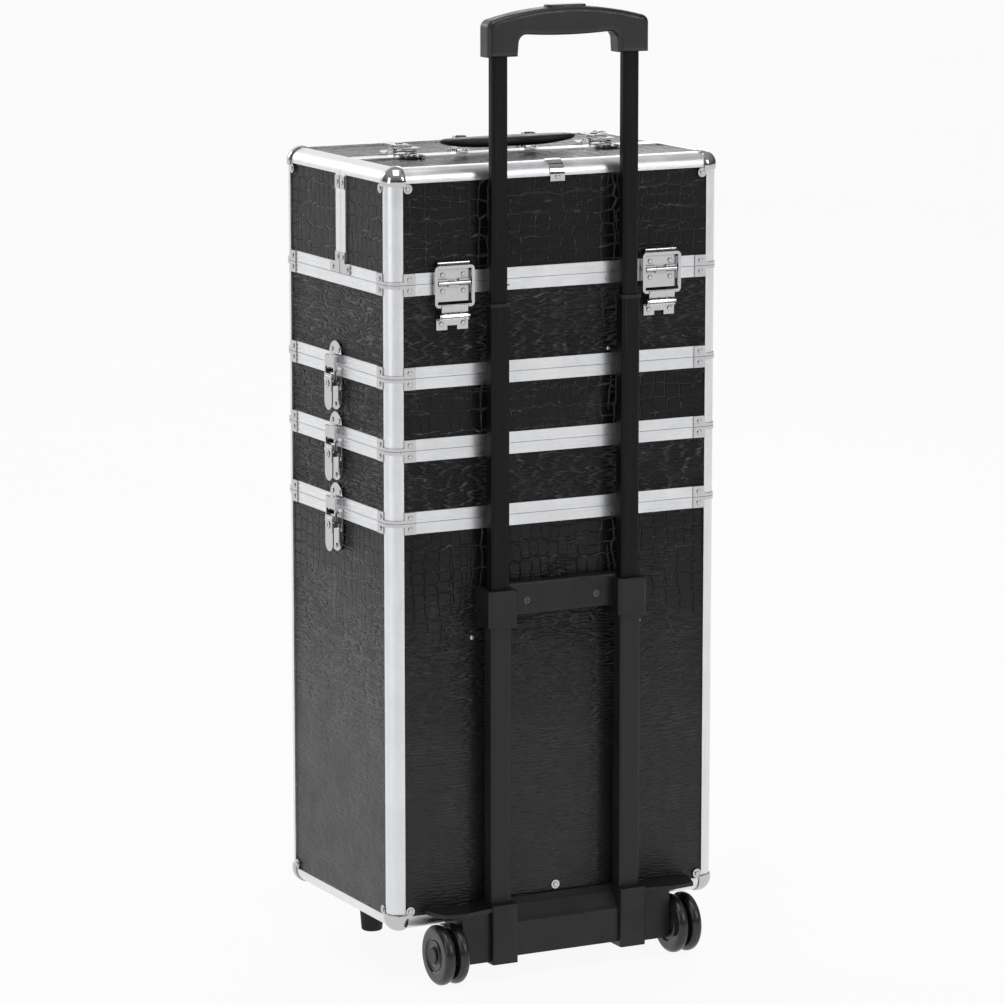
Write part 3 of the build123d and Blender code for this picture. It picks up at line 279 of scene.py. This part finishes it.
def lining():
    """Black flocked board inside the sections."""
    sh = Shader("flocked_lining", (0.016, 0.016, 0.018), roughness=0.95, specular=0.2)
    sh.set("Sheen Weight", 0.6)
    sh.set("Sheen Roughness", 0.4)
    pile = sh.noise(2600.0, 3.0, 0.7)
    sh.set("Normal", sh.bump(pile, 0.0004, 0.7))
    brushed = sh.noise(14.0, 4.0, 0.6, distortion=1.2)
    shade = sh.colors(sh.span(brushed, 0.35, 0.65), (0.011, 0.011, 0.013), (0.024, 0.024, 0.027))
    sh.set("Base Color", shade)
    return sh.material


def aluminium():
    """Satin anodised extrusion: fine lines run along each length, with scuffs and small dents."""
    sh = Shader("satin_aluminium", (0.88, 0.885, 0.90), metallic=1.0, roughness=0.3)
    x, y, z = sh.split(sh.place())
    nz = sh.split(sh.vector("ABSOLUTE", sh.coords.outputs["Normal"]))[2]
    half_w, half_d = (CASE_HI.x - CASE_LO.x) / 2, (CASE_HI.y - CASE_LO.y) / 2
    post_x = sh.math("GREATER_THAN", sh.math("ABSOLUTE", x), half_w - POST_REACH)
    from_mid = sh.math("ABSOLUTE", sh.math("SUBTRACT", y, CASE_MID_Y))
    post = sh.math("MULTIPLY", post_x, sh.math("GREATER_THAN", from_mid, half_d - POST_REACH))
    flat_top = sh.math("GREATER_THAN", nz, 0.7)
    rail = sh.blend(flat_top, z, sh.math("ADD", x, y))
    across = sh.blend(post, rail, sh.math("SUBTRACT", x, y))
    along = sh.blend(post, sh.math("ADD", x, y), z)
    strand = sh.join(sh.math("MULTIPLY", across, 2600.0), sh.math("MULTIPLY", along, 9.0))
    lines = sh.node("TexNoise", {"Vector": strand, "Scale": 1.0, "Detail": 3.0, "Roughness": 0.7},
                    noise_dimensions="2D").outputs[0]
    bold = sh.join(sh.math("MULTIPLY", across, 620.0), sh.math("MULTIPLY", along, 3.0))
    bold = sh.node("TexNoise", {"Vector": bold, "Scale": 1.0, "Detail": 1.0},
                   noise_dimensions="2D").outputs[0]
    dent = sh.span(sh.noise(420.0, 1.0), 0.70, 0.78)
    relief = sh.math("ADD", lines, sh.math("MULTIPLY", bold, 0.8))
    relief = sh.math("SUBTRACT", relief, dent)
    sh.set("Normal", sh.bump(relief, 0.00007, 0.8))
    cloud = sh.noise(26.0, 5.0, 0.62)
    scuff = sh.span(sh.noise(90.0, 6.0, 0.75, stretch=(1.0, 1.0, 0.35)), 0.60, 0.74)
    tone = sh.colors(sh.span(cloud, 0.35, 0.68), (0.76, 0.772, 0.79), (0.86, 0.865, 0.875))
    tone = sh.colors(sh.math("MULTIPLY", sh.span(lines, 0.52, 0.72), 0.45), tone, (0.56, 0.57, 0.60))
    tone = sh.colors(sh.math("MULTIPLY", scuff, 0.30), tone, (0.60, 0.60, 0.61))
    sh.set("Base Color", tone)
    rough = sh.span(cloud, 0.3, 0.7, 0.27, 0.38)
    rough = sh.math("MULTIPLY_ADD", scuff, 0.12, rough)
    rough = sh.math("MULTIPLY_ADD", lines, 0.08, rough)
    sh.set("Roughness", rough)
    return sh.material


def chrome(name="plated_steel", tone=(0.54, 0.54, 0.55), smooth=(0.06, 0.19)):
    """Bright plated steel with a light orange peel, hairline scratches and dull smears; painted shade darkens
    its crevices.
    """
    sh = Shader(name, tone, metallic=1.0, roughness=0.12)
    peel = sh.noise(420.0, 2.0, 0.5)
    hair = sh.noise(700.0, 2.0, 0.6, stretch=(1.0, 1.0, 0.06), distortion=0.4)
    hair = sh.span(hair, 0.62, 0.70)
    smear = sh.noise(75.0, 5.0, 0.7)
    sh.set("Normal", sh.bump(sh.math("MULTIPLY_ADD", hair, -0.25, peel), 0.00012, 0.55))
    rough = sh.span(smear, 0.35, 0.72, *smooth)
    sh.set("Roughness", sh.math("MULTIPLY_ADD", hair, 0.18, rough))
    # Painted shade: the colour darkens where ambient occlusion finds a crevice.
    crevice_shade = sh.node("AmbientOcclusion", {"Distance": 0.004}, samples=6).outputs["AO"]
    crevice_shade = sh.span(crevice_shade, 0.30, 0.92, 1.0, 0.0)
    dark = tuple(c * 0.30 for c in tone)
    pits = sh.span(sh.noise(1300.0, 1.0), 0.74, 0.80)
    tint = sh.colors(sh.math("MULTIPLY", crevice_shade, 0.9), tone, dark)
    sh.set("Base Color", sh.colors(sh.math("MULTIPLY", pits, 0.5), tint, dark))
    return sh.material


def moulding(name, tone, rough, grain_scale, grain_depth, wear_tone, specular=0.42):
    """Moulded plastic with a fine spark-eroded grain, rubbed edges and handling smears."""
    sh = Shader(name, tone, roughness=rough, specular=specular)
    grain = sh.noise(grain_scale, 3.0, 0.62)
    ripple = sh.noise(38.0, 2.0)
    sh.set("Normal", sh.bump(sh.math("MULTIPLY_ADD", ripple, 1.4, grain), grain_depth, 0.8))
    cloud = sh.noise(17.0, 5.0, 0.6)
    lighter = tuple(c * 1.45 for c in tone)
    darker = tuple(c * 0.78 for c in tone)
    shade = sh.colors(sh.span(cloud, 0.33, 0.67), darker, lighter)
    rub = sh.math("MULTIPLY", sh.edges(0.0012), sh.span(sh.noise(130.0, 4.0, 0.7), 0.42, 0.62))
    shade = sh.colors(sh.math("MULTIPLY", rub, 0.7), shade, wear_tone)
    nick = sh.span(sh.noise(240.0, 5.0, 0.8, stretch=(1.0, 1.0, 0.3)), 0.66, 0.72)
    shade = sh.colors(sh.math("MULTIPLY", nick, 0.35), shade, wear_tone)
    sh.set("Base Color", shade)
    smear = sh.noise(48.0, 5.0, 0.68)
    base = sh.span(smear, 0.32, 0.70, rough - 0.09, rough + 0.09)
    sh.set("Roughness", sh.math("MULTIPLY_ADD", rub, -0.12, base))
    return sh.material


def tube_paint():
    """Matte powder coat on steel tube, polished in long streaks where the stages slide."""
    sh = Shader("powder_coat", (0.0135, 0.0135, 0.015), roughness=0.48, specular=0.42)
    x, y, z = sh.split(sh.place())
    peel = sh.noise(900.0, 2.0, 0.55)
    streak_place = sh.join(sh.math("MULTIPLY", x, 900.0), sh.math("MULTIPLY", z, 7.0),
                           sh.math("MULTIPLY", y, 900.0))
    streak = sh.node("TexNoise", {"Vector": streak_place, "Scale": 1.0, "Detail": 4.0, "Roughness": 0.7})
    streak = sh.span(streak.outputs[0], 0.55, 0.70)
    sh.set("Normal", sh.bump(sh.math("MULTIPLY_ADD", streak, -0.3, peel), 0.00010, 0.7))
    cloud = sh.noise(12.0, 4.0, 0.6)
    shade = sh.colors(sh.span(cloud, 0.35, 0.65), (0.0060, 0.0060, 0.0070), (0.0105, 0.0105, 0.0118))
    inner_stage = sh.span(z, OUTER_TUBE_TOP - 0.001, OUTER_TUBE_TOP + 0.001)
    shade = sh.colors(inner_stage, shade, (0.0022, 0.0022, 0.0024))
    sh.set("Specular IOR Level", sh.span(z, OUTER_TUBE_TOP, OUTER_TUBE_TOP + 0.001, 0.40, 0.20))
    shade = sh.colors(sh.math("MULTIPLY", streak, 0.35), shade, (0.040, 0.040, 0.042))
    rub = sh.math("MULTIPLY", sh.edges(0.001), sh.span(sh.noise(95.0, 4.0, 0.7), 0.48, 0.64))
    shade = sh.colors(sh.math("MULTIPLY", rub, 0.6), shade, (0.085, 0.085, 0.088))
    sh.set("Base Color", shade)
    rough = sh.span(cloud, 0.3, 0.7, 0.42, 0.55)
    sh.set("Roughness", sh.math("MULTIPLY_ADD", streak, -0.12, rough))
    return sh.material


def wheel_gloss():
    """Glossy moulded wheel: turned sheen, scratches round the tread and dust near the floor contact."""
    sh = Shader("wheel_gloss", (0.012, 0.0125, 0.013), roughness=0.16, specular=0.5)
    _, y, z = sh.split(sh.place())
    radius = sh.vector("LENGTH", sh.join(0.0, y, z))
    turned = sh.node("TexNoise", {"W": sh.math("MULTIPLY", radius, 2400.0), "Scale": 1.0, "Detail": 2.0},
                     noise_dimensions="1D").outputs[0]
    sh.set("Normal", sh.bump(turned, 0.00003, 0.6))
    tread = sh.span(radius, 0.0262, 0.0279)
    scrape = sh.span(sh.noise(320.0, 5.0, 0.75, stretch=(0.35, 1.0, 1.0)), 0.50, 0.66)
    dust = sh.math("MULTIPLY", tread, scrape)
    shade = sh.span(sh.noise(55.0, 4.0), 0.35, 0.65)
    shade = sh.colors(shade, (0.0095, 0.010, 0.0105), (0.0155, 0.016, 0.0165))
    sh.set("Base Color", sh.colors(sh.math("MULTIPLY", dust, 0.8), shade, (0.062, 0.060, 0.056)))
    rough = sh.span(sh.noise(80.0, 5.0, 0.7), 0.35, 0.7, 0.11, 0.24)
    rough = sh.math("MULTIPLY_ADD", tread, 0.16, rough)
    sh.set("Roughness", sh.math("MULTIPLY_ADD", scrape, 0.07, rough))
    return sh.material


def floor_paper():
    """Pale floor paper. Most of its brightness is its own glow, which keeps it even from front to back."""
    sh = Shader("pale_paper", (0.05, 0.05, 0.05), roughness=0.85, specular=0.05)
    tint = sh.noise(0.9, 3.0)
    sh.set("Base Color", sh.colors(sh.span(tint, 0.3, 0.7), (0.046, 0.046, 0.046), (0.054, 0.054, 0.054)))
    sh.set("Normal", sh.bump(sh.noise(900.0, 2.0), 0.0001, 0.3))
    sh.set("Emission Color", (1.0, 1.0, 1.0, 1.0))
    sh.set("Emission Strength", 0.925)
    return sh.material


CROC = leather()
LINING = lining()
ALUMINIUM = aluminium()
CHROME = chrome()
ROD_STEEL = chrome("turned_steel", (0.55, 0.55, 0.57), (0.24, 0.38))
# Steel for the collar screws, darkened as painted shade standing in for their recesses.
SCREW_SHADE_STEEL = chrome("screw_steel_painted_shade", (0.085, 0.085, 0.09), (0.10, 0.22))
BLACK = moulding("black_moulding", (0.0066, 0.0070, 0.0075), 0.42, 1300.0, 0.00009,
                 (0.055, 0.056, 0.058), 0.38)
GRIP = moulding("grip_plastic", (0.0085, 0.0085, 0.0100), 0.34, 1500.0, 0.00010,
                (0.060, 0.061, 0.064), 0.50)
BUTTON = moulding("button_plastic", (0.006, 0.006, 0.007), 0.16, 1800.0, 0.00004, (0.05, 0.05, 0.052))
HANDLE = moulding("handle_plastic", (0.008, 0.008, 0.009), 0.34, 1200.0, 0.00010, (0.07, 0.07, 0.072))
RUBBER = moulding("foot_rubber", (0.015, 0.015, 0.015), 0.72, 900.0, 0.00022, (0.07, 0.068, 0.064), 0.30)
GLIDE = moulding("glide_plastic", (0.013, 0.013, 0.013), 0.55, 1400.0, 0.00008, (0.05, 0.05, 0.05))
PAINT = tube_paint()
GLOSS = wheel_gloss()


# ---- finishes on the CAD nodes ----
def finish_of(name):
    """The finish that a CAD node wears."""
    if name.endswith("_panels"):
        return CROC
    if name.endswith("_frame"):
        return ALUMINIUM
    if name in ("outer_tubes", "mid_tubes", "inner_tubes"):
        return PAINT
    if name in ("tube_collar", "trolley_base", "mid_tube_rings"):
        return BLACK
    if name.startswith("tube_glides"):
        return GLIDE
    return {"wheel_axles": BLACK, "pull_grip": GRIP, "release_button": BUTTON, "carry_handle": HANDLE,
            "front_feet": RUBBER, "release_rods": ROD_STEEL}.get(name, CHROME)


for name, item in nodes.items():
    item.data.materials.clear()
    item.data.materials.append(finish_of(name))

# The two collar screws take a steel darkened as painted shade of their recesses, and the rivets in the same
# node stay bright.
mesh = nodes["trolley_screws"].data
mesh.materials.append(SCREW_SHADE_STEEL)
for face in mesh.polygons:
    face.material_index = int(abs(face.center.x) < COLLAR_SCREW_REACH)

# The inner faces of the panels and the tray floors are lined.
for name in ("bottom_case", "lower_tray", "upper_tray", "top_case", "rear_lid", "front_lid"):
    mesh = nodes[name + "_panels"].data
    mesh.materials.append(LINING)
    low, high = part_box(name + "_frame")
    middle = (low + high) / 2
    has_floor = name in ("lower_tray", "upper_tray", "top_case")
    for face in mesh.polygons:
        inside = all(a + LINING_INSET < c < b - LINING_INSET for a, c, b in zip(low, face.center, high))
        if inside and (has_floor or face.normal.dot(face.center - middle) < 0):
            face.material_index = 1


# ---- pieces made here ----
def skin(name, shape, material):
    """An object from a bmesh. Four-sided faces are smooth, and the many-sided ends of a loft are flat."""
    bmesh.ops.recalc_face_normals(shape, faces=shape.faces)
    mesh = bpy.data.meshes.new(name)
    shape.to_mesh(mesh)
    shape.free()
    for face in mesh.polygons:
        face.use_smooth = len(face.vertices) == 4
    mesh.materials.append(material)
    made = bpy.data.objects.new(name, mesh)
    bpy.context.scene.collection.objects.link(made)
    return made


def set_on(made, body, replaced=None):
    """Let a piece ride on a body, in place of a CAD node if one is named."""
    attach(made, body)
    if replaced:
        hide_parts(replaced)


def lathe(name, profile, centre, material, body, replaced=None, steps=112):
    """Turn a closed profile of (along X, radius) in millimetres about an X axis through centre."""
    shape = bmesh.new()
    rings = []
    for step in range(steps):
        turn = 2 * math.pi * step / steps
        cosine, sine = math.cos(turn), math.sin(turn)
        rings.append([shape.verts.new((along * MM, radius * MM * cosine, radius * MM * sine))
                      for along, radius in profile])
    count = len(profile)
    for step in range(steps):
        ring, after = rings[step], rings[(step + 1) % steps]
        for i in range(count):
            j = (i + 1) % count
            shape.faces.new((ring[i], ring[j], after[j], after[i]))
    made = skin(name, shape, material)
    made.location = centre
    set_on(made, body, replaced)
    return made


def arc(centre_x, centre_r, radius, start, end, steps):
    """Profile points round a centre; angles in degrees from +X towards a larger radius."""
    found = []
    for i in range(steps + 1):
        angle = math.radians(start + (end - start) * i / steps)
        found.append((centre_x + radius * math.cos(angle), centre_r + radius * math.sin(angle)))
    return found


def wheel_profile(width, radius, bore):
    """A rounded tyre with a stepped disc and raised rings on both faces."""
    half, shoulder = width / 2, TYRE_SHOULDER
    side = [(half - 0.9, bore), (half - 0.9, 7.4), (half - 0.2, 7.9), (half - 0.1, 8.6), (half - 0.7, 9.3),
            (half - 0.75, 12.4), (half - 0.35, 13.0), (half - 0.25, 13.7), (half - 1.5, 14.3),
            (half - 1.55, 15.9), (half - 0.3, 16.6), (half - 0.02, 17.6), (half, 19.0), (half, 21.0)]
    right = side + arc(half - shoulder, radius - shoulder, shoulder, 0, 90, 12)
    left = [(-x, r) for x, r in reversed(right)]
    return right + left


for side in ("right", "left"):
    for row in ("inner", "outer"):
        node = f"{side}_{row}_wheel"
        low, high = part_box(node)
        lathe(f"{node}_turned", wheel_profile((high.x - low.x) / MM, (high.z - low.z) / 2 / MM, WHEEL_BORE),
              (low + high) / 2, GLOSS, node, node)


def dome_rivet(name, x, z, radius, sunk, body):
    """A small domed rivet with a washer edge, its foot sunk behind the plane of the case's back."""
    profile = [(0.0, 0.05), (0.0, radius * 1.25), (0.35, radius * 1.2), (0.40, radius * 0.98)]
    profile += [(0.40 + radius * 0.55 * math.sin(angle), radius * 0.95 * math.cos(angle))
                for angle in [math.pi / 2 * i / 7 for i in range(7)]]
    profile.append((0.40 + radius * 0.55, 0.05))
    made = lathe(name, profile, (0, 0, 0), CHROME, body, steps=40)
    # The lathe has already set it on its body at the origin, so it is taken off, placed and set on again.
    made.parent = None
    made.rotation_euler = (0, 0, math.pi / 2)
    made.location = (x * MM, (BACK_Y / MM - sunk) * MM, z * MM)
    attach(made, body)


def rounded_ring(centre, across, up, power=3.2):
    """A ring of points on a rounded rectangle; across and up are its half sizes as vectors."""
    points = []
    for i in range(RING_POINTS):
        turn = 2 * math.pi * (i + 0.5) / RING_POINTS
        cosine, sine = math.cos(turn), math.sin(turn)
        points.append(centre + across * math.copysign(abs(cosine) ** (2 / power), cosine)
                      + up * math.copysign(abs(sine) ** (2 / power), sine))
    return points


def loft(name, rings, material, body, replaced=None):
    """A smooth skin over a row of rings, closed at both ends."""
    shape = bmesh.new()
    rows = [[shape.verts.new(point) for point in ring] for ring in rings]
    count = len(rows[0])
    for row, after in zip(rows, rows[1:]):
        for i in range(count):
            j = (i + 1) % count
            shape.faces.new((row[i], row[j], after[j], after[i]))
    shape.faces.new(rows[0])
    shape.faces.new(rows[-1])
    set_on(skin(name, shape, material), body, replaced)


def carry_grip():
    """The boat-shaped grip: flat on top, its underside rising to narrow rounded tips, on two arms with eyes."""
    low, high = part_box("carry_handle")
    pivot = Vector((0.0, low.y + CARRY_EYE_R * MM, (low.z + high.z) / 2))
    middle_y = high.y - CARRY_GRIP_HALF_W * MM
    half_l, tip_r = high.x, CARRY_TIP_R * MM
    rings = []
    for step in range(-GRIP_STEPS, GRIP_STEPS + 1):
        # The divisor is a little over the count, so that the end rings stop just short of the tips.
        x = half_l * math.sin(math.pi / 2 * step / (GRIP_STEPS + 0.2))
        share = x / half_l
        into_tip = max(0.0, (abs(x) - (half_l - tip_r)) / tip_r)
        round_off = math.sqrt(max(0.0, 1 - into_tip ** 2.4))
        half_w = (5.0 + 7.0 * (1 - share ** 2)) * MM * round_off
        top = high.z - 0.6 * MM * share ** 2
        rise = max(0.0, (abs(share) - 0.40) / 0.60)
        bottom = low.z + 4.2 * MM * rise ** 1.7
        middle_z = (top + bottom) / 2
        half_t = (top - bottom) / 2 * round_off
        rings.append(rounded_ring(Vector((x, middle_y, middle_z)),
                                  Vector((0, half_w, 0)), Vector((0, 0, half_t))))
    loft("carry_grip_body", rings, HANDLE, "carry_handle", "carry_handle")
    for side, label in ((1, "right"), (-1, "left")):
        x = side * CARRY_ARM_X * MM
        arm = []
        for step in range(ARM_STEPS + 1):
            y = pivot.y + (middle_y - 5.0 * MM - pivot.y) * step / ARM_STEPS
            half_x = (3.7 + 0.9 * (step / ARM_STEPS) ** 2) * MM
            half_z = (2.9 + 0.5 * (step / ARM_STEPS) ** 2) * MM
            arm.append(rounded_ring(Vector((x, y, pivot.z)),
                                    Vector((half_x, 0, 0)), Vector((0, 0, half_z)), 5.0))
        loft(f"carry_arm_{label}", arm, HANDLE, "carry_handle")
        eye = [(-4.0, 1.8), (-4.0, 3.3), (-3.3, 4.0), (3.3, 4.0), (4.0, 3.3), (4.0, 1.8)]
        lathe(f"carry_eye_{label}", eye, (x, pivot.y, pivot.z), HANDLE,
              "carry_handle", steps=48)


carry_grip()

for side, label in ((1, "right"), (-1, "left")):
    dome_rivet(f"valance_rivet_{label}", side * VALANCE_RIVET_X, JOINT_Z[3] / MM - VALANCE_RIVET_DROP,
               VALANCE_RIVET_R, VALANCE_RIVET_SUNK, "top_case")
    dome_rivet(f"panel_rivet_{label}", side * PANEL_RIVET_X, JOINT_Z[2] / MM + PANEL_RIVET_RISE,
               PANEL_RIVET_R, PANEL_RIVET_SUNK, "top_case")


def stay_dish(name, x, out, body):
    """The hollow-faced plate between a stay's frame and its pivot; out is +1 at the back, -1 at the front."""
    face_y = BACK_Y if out > 0 else CASE_LO.y
    shape = bmesh.new()
    rows = []
    for push, drop in STAY_DISH_DEPTH:
        rows.append([shape.verts.new((x + across * MM, face_y + out * push * MM, JOINT_Z[3] + drop * MM))
                     for across in STAY_DISH_ACROSS])
    for upper, lower in zip(rows, rows[1:]):
        for i in range(len(upper) - 1):
            shape.faces.new((upper[i], upper[i + 1], lower[i + 1], lower[i]))
    made = skin(name, shape, CHROME)
    thick = made.modifiers.new("sheet", "SOLIDIFY")
    thick.thickness, thick.offset = STAY_SHEET * MM, 0.0
    rounded = made.modifiers.new("rounded", "SUBSURF")
    rounded.levels = rounded.render_levels = 2
    set_on(made, body)


for end, body, out in (("rear", "rear_stays", 1), ("front", "front_stays", -1)):
    for side, label in ((1, "right"), (-1, "left")):
        stay_dish(f"{end}_stay_dish_{label}", side * STAY_X, out, body)


# ---- floor ----
bpy.ops.mesh.primitive_grid_add(x_subdivisions=8, y_subdivisions=8, size=FLOOR_SIZE,
                                location=(0, 0, -FLOOR_DROP))
floor = bpy.context.object
floor.name = "floor"
floor.data.materials.append(floor_paper())


# ---- light ----
def softbox(name, place, target, width, height, power):
    """A white rectangular lamp at place, turned to target."""
    data = bpy.data.lights.new(name, "AREA")
    data.shape = "RECTANGLE"
    data.size, data.size_y = width, height
    data.energy = power
    made = bpy.data.objects.new(name, data)
    bpy.context.scene.collection.objects.link(made)
    made.location = place
    made.rotation_mode = "QUATERNION"
    made.rotation_quaternion = (Vector(target) - Vector(place)).to_track_quat("-Z", "Y")


AIM = (0.0, 0.0, 0.42)
softbox("overhead", (0.3, 0.7, 3.3), AIM, 1.7, 2.4, 36.0)
softbox("key_side", (3.2, 0.8, 1.4), AIM, 1.2, 2.2, 15.0)
softbox("key_back", (-1.8, 3.4, 2.2), AIM, 0.8, 1.5, 24.0)
softbox("side_glint", (1.9, -3.4, 2.1), AIM, 0.8, 1.5, 20.0)
softbox("front_fill", (-2.2, -2.6, 2.4), AIM, 1.6, 1.8, 16.0)

# The world is dim low down and white overhead, and brighter still behind the case as the camera sees it.
world = bpy.data.worlds.new("studio")
bpy.context.scene.world = world
world.use_nodes = True
sky = world.node_tree
ground = sky.nodes["Background"]
ray = sky.nodes.new("ShaderNodeTexCoord")
parts = sky.nodes.new("ShaderNodeSeparateXYZ")
fade = sky.nodes.new("ShaderNodeMapRange")
tint = sky.nodes.new("ShaderNodeMix")
tint.data_type = "RGBA"
tint.inputs[6].default_value = (0.12, 0.12, 0.13, 1.0)
tint.inputs[7].default_value = (1.0, 1.0, 1.0, 1.0)
fade.inputs[1].default_value, fade.inputs[2].default_value = 0.05, 0.8
backdrop = sky.nodes.new("ShaderNodeMapRange")
backdrop.inputs[1].default_value, backdrop.inputs[2].default_value = -0.70, -0.86
brighter = sky.nodes.new("ShaderNodeMath")
brighter.operation = "MULTIPLY_ADD"
brighter.inputs[1].default_value = 2.6
sky.links.new(ray.outputs["Generated"], parts.inputs[0])
sky.links.new(parts.outputs[2], fade.inputs[0])
sky.links.new(parts.outputs[1], backdrop.inputs[0])
sky.links.new(backdrop.outputs[0], brighter.inputs[0])
sky.links.new(fade.outputs[0], brighter.inputs[2])
sky.links.new(brighter.outputs[0], tint.inputs[0])
tint.clamp_factor = False
sky.links.new(tint.outputs[2], ground.inputs["Color"])
ground.inputs["Strength"].default_value = 0.42

# ---- camera ----
PITCH, YAW = math.radians(10.274), math.radians(207.288)
camera_data = bpy.data.cameras.new("camera")
camera_data.sensor_width = 36.0
camera_data.lens = 168.22
camera = bpy.data.objects.new("camera", camera_data)
bpy.context.scene.collection.objects.link(camera)
camera.location = (1.99510, 3.85190, 1.21048)
look = Vector((math.cos(PITCH) * math.sin(YAW), math.cos(PITCH) * math.cos(YAW), -math.sin(PITCH)))
camera.rotation_mode = "QUATERNION"
camera.rotation_quaternion = look.to_track_quat("-Z", "Y")
bpy.context.scene.camera = camera
bpy.context.scene.view_settings.view_transform = "Standard"
